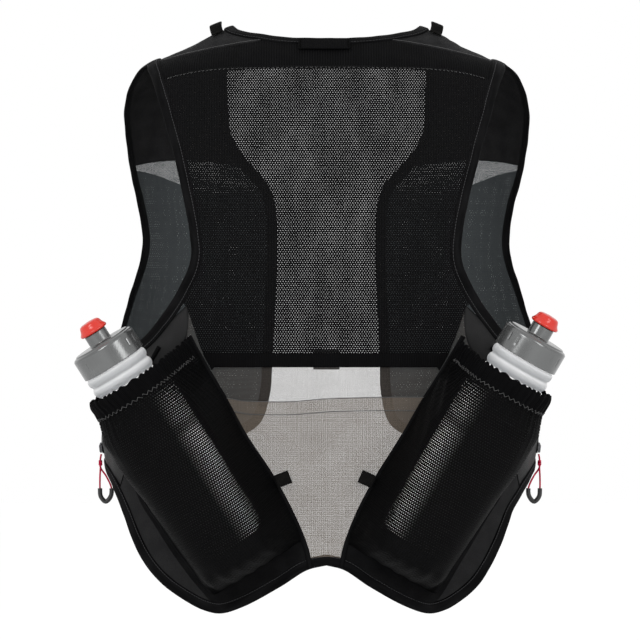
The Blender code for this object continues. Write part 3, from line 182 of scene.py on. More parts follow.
CHEST_POCKET_TOP = ((160.0, 0.2860), (155.0, 0.2880), (147.0, 0.2890), (137.5, 0.2780), (127.0, 0.2600),
                    (112.5, 0.2480))
POCKET_BOTTOM = ((-37.0, 0.5557), (-18.0, 0.5557), (0.0, 0.5557), (18.0, 0.5557), (37.0, 0.5557))
POCKET_SIDE = ((40.3, 0.4780), (38.0, 0.5050), (35.9, 0.5300), (33.7, 0.5557), (30.6, 0.5850))
LUMBAR_TOP = ((-27.0, 0.6360), (-10.0, 0.6380), (0.0, 0.6330), (10.0, 0.6310), (27.0, 0.6300))
SHOULDER_LOOP_LINE = ((63.0, 0.0150), (76.0, 0.0098), (90.0, 0.0083), (104.0, 0.0098), (117.0, 0.0150))

# Single places on the torso, as (turn, height): the front's lower corner and the joints of the edge tapes
FRONT_CORNER = (163.0, 0.6700)
SHOULDER_JOINT = (98.0, -0.0012)
HEM_JOINT = (150.0, 0.7110)

# The reinforced port at the middle of the neck: its two sides as turns, its top as a height, and how tall
# it is in metres
TUBE_PORT_TURNS = (-12.5, 10.5)
TUBE_PORT_TOP = 0.0240
TUBE_PORT_HEIGHT = 0.017

# What the hem's tape stands out past the other tapes, and the chest pocket past the front, in metres
HEM_EXTRA = 0.0004
CHEST_POCKET_LIFT = 0.0016

# The side flange: its upper and lower corner, and the share of the seam at which it ends
FLANGE_TOP = (58.2, 0.7350)
FLANGE_FOOT = (67.0, 0.7950)
FLANGE_END = 0.975

# The gap between the lumbar pocket and the holster, which overlap a little
HOLSTER_MARGIN = -0.0010

# The loop at each holster's inner edge: its place, and its slope down the torso
TAB_PLACE = (12.9, 0.7750)
TAB_SLOPE = 0.0008

# The sternum strap: its height, and the turn at which its webbing starts on each side
STRAP_HEIGHT_SHARE = 0.568
STRAP_START_TURN = 161.6

# The zip's run on the side panel, from its lower end up
ZIP_LINE = ((86.5, 0.7270), (88.0, 0.6800), (92.0, 0.6250), (97.0, 0.5850))

# Bottle seats: the centre of each cap's top face, across as a share of CHEST_HALF_WIDTH and down as a
# share of VEST_HEIGHT, and the tilt of the bottle from upright, its top leaning outward
BOTTLE_SEATS = ((-1, 1.092, 0.541, 32.3), (1, 1.022, 0.531, 30.2))

# The holster's seams on the back, and how full its cloth stands over the bottle: along as a share of
# HOLSTER_LENGTH and the fullness as a share of FULLNESS
HOLSTER_INNER_SEAM = (
    (38.5, 0.5270), (33.0, 0.5740), (26.6, 0.6320), (21.0, 0.6940), (14.4, 0.7640), (10.3, 0.8140),
    (7.0, 0.8600), (5.3, 0.8900),
)
HOLSTER_OUTER_SEAM = (
    (48.5, 0.5450), (52.0, 0.5850), (54.5, 0.6300), (56.5, 0.6900), (56.5, 0.7450), (52.0, 0.8050),
    (45.0, 0.8530), (37.5, 0.9080), (31.5, 0.9560), (29.0, 0.9750),
)
HOLSTER_FULLNESS = (
    (0.00, 0.00), (0.09, 0.10), (0.18, 0.85), (0.36, 0.85), (0.50, 0.50), (0.70, 0.25), (0.85, 0.05),
    (1.00, 0.00),
)
FULLNESS = 0.010

# Spacing of points: the length that one radian of bend counts for, and the bend that makes a corner,
# which takes a point of its own
BEND_LENGTH = 0.07
CORNER_BEND = 0.25

# The share of a boundary that follows when its end is moved onto a corner
END_REACH = 0.10

# The pull cord's route from the slider's eye: outward, along the body and down, in metres
PULL_ROUTE = (
    (0.0, -0.0011, 0.0), (0.0008, -0.0011, 0.004), (0.0008, -0.0011, 0.012), (0.0012, -0.0010, 0.020),
    (0.0012, -0.0003, 0.031), (0.0004, 0.0, 0.0385), (-0.0040, 0.0, 0.0430), (-0.0084, 0.0, 0.0385),
    (-0.0092, 0.0003, 0.031), (-0.0044, 0.0010, 0.020), (0.0008, 0.0011, 0.012), (0.0008, 0.0011, 0.004),
    (0.0, 0.0011, 0.0),
)
GRIP_START = 0.0300
KNOT_DROP = 0.0078

# Sizes that only the looks need: fineness, pitches, gloss and depth of grooves
FINE = 8
TAPE_SIDES = 16
SHEER_PITCH = 0.00075
STITCH_PITCH = 0.0026
NET_HALF = 0.00022
CLOTH_GLOSS = 0.03
GROOVE_TURN = 0.16
BOTTLE_TRANSLUCENCY = 0.60

# How far the cloth's folds stand off: gathers below the collar, folds toward the outer seam, creases at
# the foot, and the collar's frill and swell; the zigzag's half width and the knot's size
GATHER_DEPTH = 0.0011
SWEEP_DEPTH = 0.0016
CREASE_DEPTH = 0.0010
FRILL_DEPTH = 0.0011
COLLAR_PUFF = 0.0010
ZIGZAG_REACH = 0.0013
YOKE_STITCH_LIFT = 0.0019
KNOT_SIZE = 0.00075

# The turn round each bottle at which its painted band of light lies, 30 degrees round from the side that
# faces the vest's middle
PAINTED_LIGHT_TURN = math.radians(30.0)

# The dark cloth behind each holster: how many degrees it reaches past the outer seam, the places that
# lead the inner seam on to the hem, and its two upper corners
BASE_SPILL = 2.6
HOLSTER_TO_HEM = ((4.6, 0.9100), (4.2, 0.9230))
BASE_TOP = ((33.0, 0.5740), (52.0, 0.5850))

# The nozzle's dome, as shares of its radius and its height
NOZZLE_OUTLINE = (
    (0.90, 0.00), (0.97, 0.05), (1.00, 0.13), (0.99, 0.22), (0.93, 0.32), (0.86, 0.45), (0.81, 0.60),
    (0.77, 0.75), (0.70, 0.88), (0.58, 0.96), (0.40, 1.00), (0.22, 1.00),
)

# The stage, its camera and its lamps, with the places of the glow down each bottle's axis
FLOOR_Z = -0.62
BACKDROP_GLOW = 0.06
FLOOR_RADIUS = 14.0
BOTTLE_GLOW = 0.085
GLOW_PLACES = (-0.098, -0.138, -0.176, -0.212)
WORLD_STRENGTH = 1.0
CAMERA_DISTANCE = 12.0
VIEW_WIDTH = 0.576
VIEW_CENTRE = (-0.00585, -0.2637)
VIEW_PLANE = -0.09
LAMPS = (
    ("key", (-1.3, -2.2, 1.0), (0.0, 0.0, -0.25), (0.8, 1.2), 20.0),
    ("fill", (1.5, -2.0, 0.6), (0.0, 0.0, -0.30), (0.8, 1.2), 14.0),
    ("inside", (0.0, 0.0, -0.20), (0.0, 0.10, -0.22), (0.10, 0.20), 0.15),
)


def smooth_table(places, values):
    """Returns a function that runs smoothly through a table without overshooting it."""
    steps = np.diff(places)
    slopes = np.diff(values) / steps
    tangents = np.zeros(len(values))
    tangents[0], tangents[-1] = slopes[0], slopes[-1]
    for i in range(1, len(values) - 1):
        if slopes[i - 1] * slopes[i] > 0:
            before = 2 * steps[i] + steps[i - 1]
            after = steps[i] + 2 * steps[i - 1]
            tangents[i] = (before + after) / (before / slopes[i - 1] + after / slopes[i])

    def value(place):
        place = np.clip(place, places[0], places[-1])
        i = np.clip(np.searchsorted(places, place) - 1, 0, len(steps) - 1)
        step = steps[i]
        share = (place - places[i]) / step
        return ((1 + 2 * share) * (1 - share) ** 2 * values[i]
                + share * (1 - share) ** 2 * step * tangents[i]
                + share ** 2 * (3 - 2 * share) * values[i + 1]
                + share ** 2 * (share - 1) * step * tangents[i + 1])
    return value


OUTLINE_SCALE = np.array([CHEST_HALF_WIDTH, 1.0])
SECTION_HEIGHTS, *SECTION_SHARES = np.array(TORSO_SECTIONS).T
SECTION_SIZES = (CHEST_HALF_WIDTH, CHEST_HALF_WIDTH, BACK_DEPTH, FRONT_DEPTH)
LEFT_WIDTH, RIGHT_WIDTH, BACK, FRONT = (
    smooth_table(SECTION_HEIGHTS, size * shares) for size, shares in zip(SECTION_SIZES, SECTION_SHARES))


def torso(turn, z):
    """Points of the torso surface at the given turns (radians) and heights (metres)."""
    share = -np.asarray(z, float) / VEST_HEIGHT
    across = np.sin(turn)
    along = np.cos(turn)
    reach = (np.abs(across) ** SECTION_POWER + np.abs(along) ** SECTION_POWER) ** (-1 / SECTION_POWER)
    width = np.where(np.asarray(turn) < 0, LEFT_WIDTH(share), RIGHT_WIDTH(share))
    depth = np.where(along > 0, BACK(share), FRONT(share))
    return np.stack([width * reach * across, -depth * reach * along, np.asarray(z) + 0 * across], axis=-1)


def torso_normals(turn, z):
    """Outward unit normals of the torso surface."""
    step_turn, step_z = 0.002, 0.0005
    along_turn = torso(turn + step_turn, z) - torso(turn - step_turn, z)
    along_z = torso(turn, z + step_z) - torso(turn, z - step_z)
    normal = np.cross(along_turn, along_z)
    return normal / np.linalg.norm(normal, axis=-1, keepdims=True)


def back_turn(x, z):
    """The turn of the back's surface point at x and z."""
    share = -np.asarray(z) / VEST_HEIGHT
    width = np.where(np.asarray(x) < 0, LEFT_WIDTH(share), RIGHT_WIDTH(share))
    across = np.clip(np.abs(x) / width, 0, 0.9999)
    along = (1 - across ** SECTION_POWER) ** (1 / SECTION_POWER)
    return np.sign(x) * np.arctan2(across, along)


def outline(rows, side=1, closed=False, count=900):
    """A dense smooth curve of (turn, z) through an outline's rows."""
    points = np.array([(side * math.radians(turn), -height * VEST_HEIGHT) for turn, height in rows])
    return spline(points, closed, count)


def spline(points, closed=False, count=240):
    """A dense centripetal spline through points, of any dimension."""
    points = np.asarray(points, float)
    if closed:
        ring = np.vstack([points[-1:], points, points[:2]])
    else:
        ring = np.vstack([2 * points[:1] - points[1:2], points, 2 * points[-1:] - points[-2:-1]])
    spans = len(ring) - 3
    each = max(2, count // spans)
    result = []
    for i in range(spans):
        p0, p1, p2, p3 = ring[i:i + 4]
        t0 = 0.0
        t1 = t0 + math.sqrt(max(chord(p0, p1), 1e-9))
        t2 = t1 + math.sqrt(max(chord(p1, p2), 1e-9))
        t3 = t2 + math.sqrt(max(chord(p2, p3), 1e-9))
        for t in np.linspace(t1, t2, each, endpoint=False):
            a1 = (t1 - t) / (t1 - t0) * p0 + (t - t0) / (t1 - t0) * p1
            a2 = (t2 - t) / (t2 - t1) * p1 + (t - t1) / (t2 - t1) * p2
            a3 = (t3 - t) / (t3 - t2) * p2 + (t - t2) / (t3 - t2) * p3
            b1 = (t2 - t) / (t2 - t0) * a1 + (t - t0) / (t2 - t0) * a2
            b2 = (t3 - t) / (t3 - t1) * a2 + (t - t1) / (t3 - t1) * a3
            result.append((t2 - t) / (t2 - t1) * b1 + (t - t1) / (t2 - t1) * b2)
    if not closed:
        result.append(points[-1])
    return np.array(result)


def chord(first, second):
    """Distance between two outline points, with a turn of one radian counted as CHEST_HALF_WIDTH."""
    if len(first) == 2:
        return float(np.linalg.norm((second - first) * OUTLINE_SCALE))
    return float(np.linalg.norm(second - first))


def shift(curve, distance, closed=False):
    """The curve moved sideways on the torso surface, to its left when seen from outside."""
    if closed:
        ahead, behind = np.roll(curve, -1, axis=0), np.roll(curve, 1, axis=0)
    else:
        ahead = np.vstack([curve[1:], curve[-1:]])
        behind = np.vstack([curve[:1], curve[:-1]])
    turn, z = curve[:, 0], curve[:, 1]
    run = torso(ahead[:, 0], ahead[:, 1]) - torso(behind[:, 0], behind[:, 1])
    run /= np.linalg.norm(run, axis=1, keepdims=True)
    sideways = np.cross(torso_normals(turn, z), run)
    step_turn, step_z = 0.002, 0.0005
    by_turn = (torso(turn + step_turn, z) - torso(turn - step_turn, z)) / (2 * step_turn)
    by_z = (torso(turn, z + step_z) - torso(turn, z - step_z)) / (2 * step_z)
    tt = np.sum(by_turn * by_turn, axis=1)
    zz = np.sum(by_z * by_z, axis=1)
    tz = np.sum(by_turn * by_z, axis=1)
    st = np.sum(sideways * by_turn, axis=1)
    sz = np.sum(sideways * by_z, axis=1)
    scale = distance / (tt * zz - tz * tz)
    return curve + np.stack([(st * zz - sz * tz) * scale, (sz * tt - st * tz) * scale], axis=1)


def spacing(curve, count):
    """How far along a curve its points count, with more weight where the curve bends."""
    steps = np.diff(torso(curve[:, 0], curve[:, 1]), axis=0)
    lengths = np.linalg.norm(steps, axis=1)
    ahead = steps / np.maximum(lengths, 1e-9)[:, None]
    bend = np.concatenate([[0], np.linalg.norm(np.diff(ahead, axis=0), axis=1)])
    weights = lengths + BEND_LENGTH * np.minimum(bend, CORNER_BEND)
    corners = bend > CORNER_BEND
    weights[corners] = weights[~corners].sum() / max(1, count - 1 - corners.sum())
    return np.concatenate([[0], np.cumsum(weights)])


def resample(curve, count, run=None):
    """Evenly counted points along a curve, or along another curve that runs beside it."""
    run = spacing(curve, count) if run is None else run
    places = np.linspace(0, run[-1], count)
    return np.stack([np.interp(places, run, curve[:, 0]), np.interp(places, run, curve[:, 1])], axis=1)


def nearest(curve, point):
    """Index of the curve's point nearest to an outline row or point."""
    return int(np.argmin(np.linalg.norm((curve - point) * OUTLINE_SCALE, axis=1)))


def between(curve, start, end):
    """The stretch of an open curve between its points nearest to start and end."""
    first, last = nearest(curve, start), nearest(curve, end)
    if first <= last:
        return curve[first:last + 1]
    return curve[last:first + 1][::-1]


def around(ring, start, end):
    """The stretch of a closed curve from start to end, in the curve's own direction."""
    first, last = nearest(ring, start), nearest(ring, end)
    return ring[first:last + 1] if first <= last else np.vstack([ring[first:], ring[:last + 1]])


def row(turn, height, side=1):
    """A place on the torso as (turn, z), from degrees and a share of VEST_HEIGHT."""
    return np.array([side * math.radians(turn), -height * VEST_HEIGHT])


def joined(*curves):
    return np.vstack(curves)


def ended(curve, start, end):
    """The curve with its ends moved onto two corners, and only the points next to them following."""
    shares = np.linspace(0, 1, len(curve))[:, None]
    first, last = np.clip(1 - shares / END_REACH, 0, 1), np.clip(1 - (1 - shares) / END_REACH, 0, 1)
    return curve + first * (start - curve[0]) + last * (end - curve[-1])


def filled(top, bottom, left, right, across, down):
    """A grid of (turn, z) that fills four boundary curves, which need not meet exactly."""
    across, down = across * FINE, down * FINE
    left, right = resample(left, down + 1), resample(right, down + 1)
    top = ended(resample(top, across + 1), left[0], right[0])
    bottom = ended(resample(bottom, across + 1), left[-1], right[-1])
    u = np.linspace(0, 1, across + 1)[None, :, None]
    v = np.linspace(0, 1, down + 1)[:, None, None]
    grid = (1 - v) * top[None] + v * bottom[None] + (1 - u) * left[:, None] + u * right[:, None]
    corners = ((1 - u) * (1 - v) * top[0] + u * (1 - v) * top[-1]
               + (1 - u) * v * bottom[0] + u * v * bottom[-1])
    return grid - corners


def grid_faces(rows, columns, ring=False, tube=False):
    """Faces of a grid of points, which may close on itself along its rows and along its columns."""
    corners = ((0, 0), (0, 1), (1, 1), (1, 0))
    return [tuple((i + a) % rows * columns + (j + b) % columns for a, b in corners)
            for i in range(rows if tube else rows - 1) for j in range(columns if ring else columns - 1)]


def shell_faces(down, across):
    """Faces of a wall between two grids of points, the outer grid's points first."""
    size = down * across
    faces = grid_faces(down, across)
    faces += [(a + size, d + size, c + size, b + size) for a, b, c, d in faces]
    rim = [*range(across), *range(2 * across - 1, size, across)]
    rim += [*range(size - 2, size - across - 1, -1), *range(size - 2 * across, 0, -across)]
    return faces + [(a, a + size, b + size, b) for a, b in zip(rim, rim[1:] + rim[:1])]


def ribbon(curve, width, count, closed=False):
    """A grid two rows deep between a curve and the same curve shifted sideways."""
    beside = shift(curve, width, closed)
    if closed:
        curve, beside = np.vstack([curve, curve[:1]]), np.vstack([beside, beside[:1]])
        count += 1
    run = spacing(curve, count)
    grid = np.stack([resample(curve, count, run), resample(beside, count, run)])
    return grid[:, :-1] if closed else grid


def band_grid(curve, width, rows, count=60):
    """A grid of several rows between a curve and the same curve shifted sideways."""
    first, last = ribbon(curve, width, count)
    return first + np.linspace(0, 1, rows)[:, None, None] * (last - first)

PANEL_TOP = PANEL_THICKNESS
OVERLAY_LOW = PANEL_TOP + LAYER_GAP
OVERLAY_TOP = OVERLAY_LOW + PANEL_THICKNESS
ARM_SEAM = ARMHOLE_TAPE_WIDTH - 0.0020
EDGE_SEAM = EDGE_TAPE_WIDTH - 0.0020
SIDES = (-1, 1)


def side_name(side):
    return "left" if side < 0 else "right"


def armhole(side, inward=0.0):
    """The armhole's edge, or a line beside it on the cloth, as a ring that runs down the back."""
    ring = outline(ARMHOLE_EDGE, side, closed=True)
    return shift(ring, -side * inward, closed=True) if inward else ring


def outer_edge(side, inward=0.0):
    """The vest's outer edge from the back neck round the front to the back hem, or a line beside it."""
    edge = outline(OUTER_EDGE, side, count=1800)
    if inward:
        edge = shift(edge, -side * inward)
        edge = edge[edge[:, 0] * side > 0]
        edge = np.vstack([[0.0, edge[0, 1]], edge, [0.0, edge[-1, 1]]])
    return edge


def both_sides(curve):
    """A right half line that ends at the middle, carried on over the left: from left to right."""
    return np.vstack([curve[:-1] * np.array([-1, 1]), curve[::-1]])


def cut_at(curve, other):
    """The curve up to where it comes nearest to another one, ending on that one."""
    gaps = np.linalg.norm((curve[:, None] - other[None, ::2]) * OUTLINE_SCALE, axis=2)
    last = int(np.argmin(gaps.min(axis=1)))
    return np.vstack([curve[:last], other[nearest(other, curve[last])]])


def beyond(curve, other):
    """The curve from where it comes nearest to another one."""
    gaps = np.linalg.norm((curve[:, None] - other[None, ::2]) * OUTLINE_SCALE, axis=2)
    return curve[int(np.argmin(gaps.min(axis=1))):]


def back_side(side):
    """The back panel's side edge: down the armhole's seam and on down the side seam to the hem."""
    ring = armhole(side, ARM_SEAM)
    seam = beyond(shift(outline(SIDE_SEAM, side), -side * SIDE_SEAM_GAP / 2), ring)
    start = row(*YOKE_LOWER_SEAM[0], side) - np.array([0, 2 * TAPE_GAP])
    return cut_at(joined(around(ring, start, seam[0]), seam[1:]), outer_edge(side, EDGE_SEAM))


def hem_between(left, right):
    """The hem's seam line over the back between two points, one on each side."""
    halves = []
    for side, corner in ((-1, left), (1, right)):
        edge = outer_edge(side, EDGE_SEAM)
        edge = edge[len(edge) // 2:]
        halves.append(edge[nearest(edge, corner):])
    return np.vstack([halves[0], halves[1][::-1]])


def yoke_lower_seam(drop):
    return both_sides(outline(YOKE_LOWER_SEAM)) - np.array([0, drop])


def pocket_side(side):
    """The mesh pocket's side seam down the armhole and in to the holster."""
    ring = armhole(side, ARM_SEAM)
    seam = beyond(outline(POCKET_SIDE, side), ring)
    start = row(*YOKE_LOWER_SEAM[0], side) - np.array([0, 2 * TAPE_GAP])
    return joined(around(ring, start, seam[0]), seam[1:])


def front_outer_side(side, start):
    """A front piece's outer edge: down the armhole's front seam and the front side seam to the hem."""
    ring = armhole(side, ARM_SEAM)
    seam = beyond(shift(outline(FRONT_SIDE_SEAM, side), side * SIDE_SEAM_GAP / 2), ring)
    upper = around(ring, seam[0], start)[::-1]
    return cut_at(joined(upper, seam[1:]), outer_edge(side, EDGE_SEAM))


def front_grid(side, top, across, down):
    """A grid over the front from a top line down to the hem."""
    edge = outer_edge(side, EDGE_SEAM)
    corner = row(*FRONT_CORNER, side)
    outer = front_outer_side(side, top[-1])
    return filled(top, between(edge, corner, outer[-1]), between(edge, top[0], corner), outer, across, down)

BODY_END = NECK_LENGTH + BODY_LENGTH
RING_PITCH = 0.0095

# The bottle's outer profile from its neck down: radius as a share of the named size, depth in metres
# below the cap's top face
NECK_PROFILE = (
    (0.98, CAP_HEIGHT + 0.0006), (1.00, CAP_HEIGHT + 0.5 * RING_PITCH), (0.95, CAP_HEIGHT + RING_PITCH),
    (1.01, CAP_HEIGHT + 1.6 * RING_PITCH),
)
SHOULDER_PROFILE = ((0.90, 0.25), (0.975, 0.60), (1.0, 1.0))
SHOULDER_LENGTH = 0.015
FOOT_PROFILE = ((1.0, 0.0), (0.965, 0.55), (0.86, 1.0))
FOOT_LENGTH = 0.012


def bottle_profile():
    """The bottle's outer rows of (radius, depth), from the rings below the cap down to the foot."""
    rows = [(share * NECK_RING_RADIUS, depth) for share, depth in NECK_PROFILE]
    start = rows[-1][1]
    rows += [(share * BODY_RADIUS, start + along * SHOULDER_LENGTH) for share, along in SHOULDER_PROFILE]
    rows += [(share * BODY_RADIUS, BODY_END - (1 - along) * FOOT_LENGTH) for share, along in FOOT_PROFILE]
    return rows


def seat_frame(side):
    """The bottle's frame: the cap's top centre, and unit vectors down, inward and outward of its axis."""
    across, down, tilt = [(a, d, t) for s, a, d, t in BOTTLE_SEATS if s == side][0]
    tilt, lean = math.radians(tilt), math.radians(BOTTLE_LEAN_DEG)
    top = np.array([side * across * CHEST_HALF_WIDTH, 0.0, -down * VEST_HEIGHT])
    inward = np.array([-side * math.cos(tilt), 0.0, math.sin(tilt)])
    flat_down = np.array([-side * math.sin(tilt), 0.0, -math.cos(tilt)])
    back = np.array([0.0, -1.0, 0.0])
    axis = math.cos(lean) * flat_down - math.sin(lean) * back
    outward = math.sin(lean) * flat_down + math.cos(lean) * back
    clear = PANEL_TOP + HOLSTER_CLEARANCE
    places = []
    for along in np.linspace(0.3, 1.0, 15) * BODY_END:
        for w in np.linspace(-0.95, 0.95, 13) * BODY_RADIUS:
            under = axis * along + inward * w - outward * math.sqrt(BODY_RADIUS ** 2 - w * w)
            x, _, z = top + under
            surface = torso(back_turn(x, z), z)
            if abs(surface[0] - x) < 0.001:
                places.append(surface[1] - clear - under[1])
    top[1] = min(places)
    return top, axis, inward, outward


def seat_matrix(side):
    """Places a turned body whose local +Z runs out of the bottle's mouth, from the cap's top face."""
    top, axis, inward, _ = seat_frame(side)
    return frame_matrix(top, inward, np.cross(-axis, inward), -axis)


def seam_places(seam, frame, stations, low):
    """Where a seam crosses the bottle's cross-sections, as (inward, outward) rows."""
    top, axis, inward, outward = frame
    turn, z = seam[:, 0], seam[:, 1]
    points = torso(turn, z) + torso_normals(turn, z) * low - top
    along = points @ axis
    order = np.argsort(along)
    across = np.interp(stations, along[order], (points @ inward)[order])
    out = np.interp(stations, along[order], (points @ outward)[order])
    return np.stack([across, out], axis=1)


def taut(inner, outer, radius, count):
    """Points of a taut wrap from the inner seam over a circle at the origin to the outer seam."""
    start = math.atan2(inner[1], inner[0]) + math.acos(min(1, radius / np.hypot(*inner)))
    end = math.atan2(outer[1], outer[0])
    end += 2 * math.pi if end < math.pi / 2 else 0
    end -= math.acos(min(1, radius / np.hypot(*outer)))
    angles = np.linspace(start, max(end, start + 0.05), 40)
    path = np.vstack([inner, radius * np.stack([np.cos(angles), np.sin(angles)], axis=1), outer])
    return resample(path, count, np.concatenate([[0], np.cumsum(np.hypot(*np.diff(path, axis=0).T))]))


def lifted(points, least):
    """Points pushed out to at least a distance from the torso surface."""
    x, y, z = points[..., 0], points[..., 1], points[..., 2]
    share = -z / VEST_HEIGHT
    width = np.where(x < 0, LEFT_WIDTH(share), RIGHT_WIDTH(share))
    depth = BACK(share)
    turn = np.arctan2(x / width, -y / depth)
    surface = torso(turn, z)
    normal = torso_normals(turn, z)
    gap = np.sum((points - surface) * normal, axis=-1, keepdims=True)
    return points + normal * np.clip(least - gap, 0, None)


def holster_surface(side, stations, across):
    """The middle surface of the holster's cloth at distances along the bottle's axis."""
    frame = seat_frame(side)
    top, axis, inward, outward = frame
    low = OVERLAY_LOW + HOLSTER_WALL / 2
    inner, outer = (seam_places(outline(seam, side), frame, stations, low)
                    for seam in (HOLSTER_INNER_SEAM, HOLSTER_OUTER_SEAM))
    radii, depths = np.array(bottle_profile()).T
    along, fullness = np.array(HOLSTER_FULLNESS).T
    fullness = np.interp((stations - COLLAR_START) / HOLSTER_LENGTH, along, FULLNESS * fullness)
    reach = np.minimum(stations[:, None] + np.linspace(-1, 1, 9) * COLLAR_HEIGHT / 3, BODY_END - FOOT_LENGTH)
    radius = np.interp(reach, depths, radii).max(axis=1)
    radius = radius + HOLSTER_CLEARANCE + HOLSTER_WALL / 2 + fullness
    end = COLLAR_START + HOLSTER_LENGTH
    fall = np.clip((stations - end + HOLSTER_END_ROUND) / HOLSTER_END_ROUND, 0, 1)
    keep = np.sqrt(np.clip(1 - fall ** 2, 0, 1))
    shares = np.linspace(0, 1, across)[:, None]
    rows = []
    for i, along in enumerate(stations):
        line = (1 - shares) * inner[i] + shares * outer[i]
        flat = line + keep[i] * (taut(inner[i], outer[i], radius[i], across) - line)
        rows.append(top + axis * along + flat[:, :1] * inward + flat[:, 1:] * outward)
    return lifted(np.array(rows), low)


def local_frame(turn, z, heading):
    """A frame on the torso surface: along the heading, across it and outward."""
    point = torso(turn, z)
    normal = torso_normals(turn, z)
    ahead = torso(turn + heading[0], z + heading[1]) - point
    ahead -= normal * (ahead @ normal)
    ahead /= np.linalg.norm(ahead)
    return point, ahead, np.cross(normal, ahead), normal


def frame_matrix(point, first, second, third):
    return Matrix.Translation(Vector(point)) @ Matrix((first, second, third)).transposed().to_4x4()


class Wire:
    """A node's output, which takes part in sums as a number does."""

    def __init__(self, socket):
        self.socket = socket
        self.tree = socket.id_data

    def __add__(self, other):
        return calc("ADD", self, other)

    def __sub__(self, other):
        return calc("SUBTRACT", self, other)

    def __rsub__(self, other):
        return calc("SUBTRACT", other, self)

    def __mul__(self, other):
        return calc("MULTIPLY", self, other)

    def __truediv__(self, other):
        return calc("DIVIDE", self, other)

    def __lt__(self, other):
        return calc("LESS_THAN", self, other)

    def __gt__(self, other):
        return calc("GREATER_THAN", self, other)

    def __abs__(self):
        return calc("ABSOLUTE", self)


def put(value, socket):
    """Sets a socket's value, or links a node's output to it."""
    if isinstance(value, Wire):
        value.tree.links.new(value.socket, socket)
    else:
        socket.default_value = value


def new_node(tree, kind, values, output=0, **settings):
    """A new node's output. The values of its inputs are given in order, or by number or name."""
    made = tree.nodes.new("ShaderNode" + kind)
    for name, value in settings.items():
        setattr(made, name, value)
    for key, value in values.items() if isinstance(values, dict) else enumerate(values):
        put(value, made.inputs[key])
    return Wire(made.outputs[output])


def tree_of(values):
    """The node tree of the first output among the values."""
    return next(value.tree for value in values if isinstance(value, Wire))


def calc(operation, *values):
    """A Math node's result."""
    return new_node(tree_of(values), "Math", values, operation=operation)


def fract(value):
    """What is left past the whole number."""
    return calc("FRACT", value)


def sine(value, pitch):
    """The sine of a distance, with half a wave for each pitch."""
    return calc("SINE", value * (math.pi / pitch))


def eased(value, start, end, low=0.0, high=1.0):
    """A value carried smoothly from one range to another."""
    return new_node(value.tree, "MapRange", (value, start, end, low, high), interpolation_type="SMOOTHSTEP")


def cloth_places(tree):
    """The two cloth coordinates, in metres."""
    places = new_node(tree, "UVMap", ())
    return [new_node(tree, "SeparateXYZ", (places,), axis) for axis in (0, 1)]


def grain(tree, scale, stretch=(1.0, 1.0, 1.0), detail=3.0, on_cloth=True):
    """Noise over the cloth or over the object, from 0 to 1."""
    source = new_node(tree, "UVMap", ()) if on_cloth else new_node(tree, "TexCoord", (), "Object")
    mapped = new_node(tree, "Mapping", {"Vector": source, "Scale": stretch})
    return new_node(tree, "TexNoise", {"Vector": mapped, "Scale": scale, "Detail": detail}, "Fac")


def mixed(share, first, second, **settings):
    """A colour between two, by a share."""
    colours = [value if isinstance(value, Wire) else (*value, 1.0) for value in (first, second)]
    return new_node(tree_of((share, first, second)), "Mix", {0: share, 6: colours[0], 7: colours[1]}, 2,
                    data_type="RGBA", **settings)


def relief(height, depth):
    """A bump from a height, in metres."""
    return new_node(height.tree, "Bump", {"Strength": 1.0, "Distance": depth, "Height": height})


def surface(tree, colour, roughness, **sockets):
    """The material's shader, joined to its output."""
    shader = tree.nodes.new("ShaderNodeBsdfPrincipled")
    for name, value in dict(base_color=colour, roughness=roughness, **sockets).items():
        put(value, shader.inputs[name.replace("_", " ").title().replace("Ior", "IOR")])
    output = tree.nodes.new("ShaderNodeOutputMaterial")
    tree.links.new(shader.outputs[0], output.inputs[0])
    return shader, output


def cloth(tree, colour, roughness, **sockets):
    """A cloth's shader, with little gloss."""
    surface(tree, colour, roughness, specular_ior_level=CLOTH_GLOSS, **sockets)


def sheer_cloth(tree, thread, dark, light, pitch=SHEER_PITCH):
    """Fine open cloth of crossing threads, each a share of the pitch wide."""
    streaks = [grain(tree, 1.0, (*stretch, 1.0), 2.0) for stretch in ((1500.0, 40.0), (40.0, 1500.0))]
    patch = (grain(tree, 30.0) - 0.5) * 0.08
    masks = [fract(place / pitch) < streak * (0.7 * thread) + 0.65 * thread + patch
             for place, streak in zip(cloth_places(tree), streaks)]
    cloth(tree, mixed((streaks[0] + streaks[1]) * 0.5, dark, light), 0.7, alpha=calc("MAXIMUM", *masks))


def net_cloth(tree, pitch, hole, dark, light, unevenness=0.35, bands=0.0, dense_from=None):
    """Black net with staggered round holes, denser below a distance down the cloth if one is given."""
    u, v = cloth_places(tree)
    across, down = pitch
    rows = v / down
    columns = u / across + calc("FLOORED_MODULO", calc("FLOOR", rows), 2.0) * 0.5
    x = (fract(columns) - 0.5) * across
    y = (fract(rows) - 0.5) * (down * 1.15)
    away = calc("SQRT", x * x + y * y)
    size = (grain(tree, 1.0, (45.0, 14.0, 1.0)) - 0.5) * (2 * unevenness * hole) + hole
    if bands:
        size = size * eased(grain(tree, 1.0, (150.0, 9.0, 1.0), 1.0), 0.42, 0.55, 1.0 - bands, 1.0)
    if dense_from:
        size = size * eased(v, dense_from, dense_from + 0.010, 1.0, 0.35)
    rib = abs(sine(u, across))
    height = eased(away, hole, hole + 0.0005) + rib * 0.4
    colour = mixed(rib * grain(tree, 300.0), dark, light)
    cloth(tree, colour, 0.6, normal=relief(height, 0.0003), alpha=away > size)


def ribbed_cloth(tree, pitch, dark, light):
    """Solid cloth with fine upright ribs."""
    u, v = cloth_places(tree)
    wave, knit = abs(sine(u, pitch)), abs(sine(v, 0.0009))
    share = (1.0 - wave) * grain(tree, 90.0, (1.0, 0.3, 1.0))
    cloth(tree, mixed(share, dark, light), 0.72, normal=relief(wave + knit * 0.3, 0.0003))


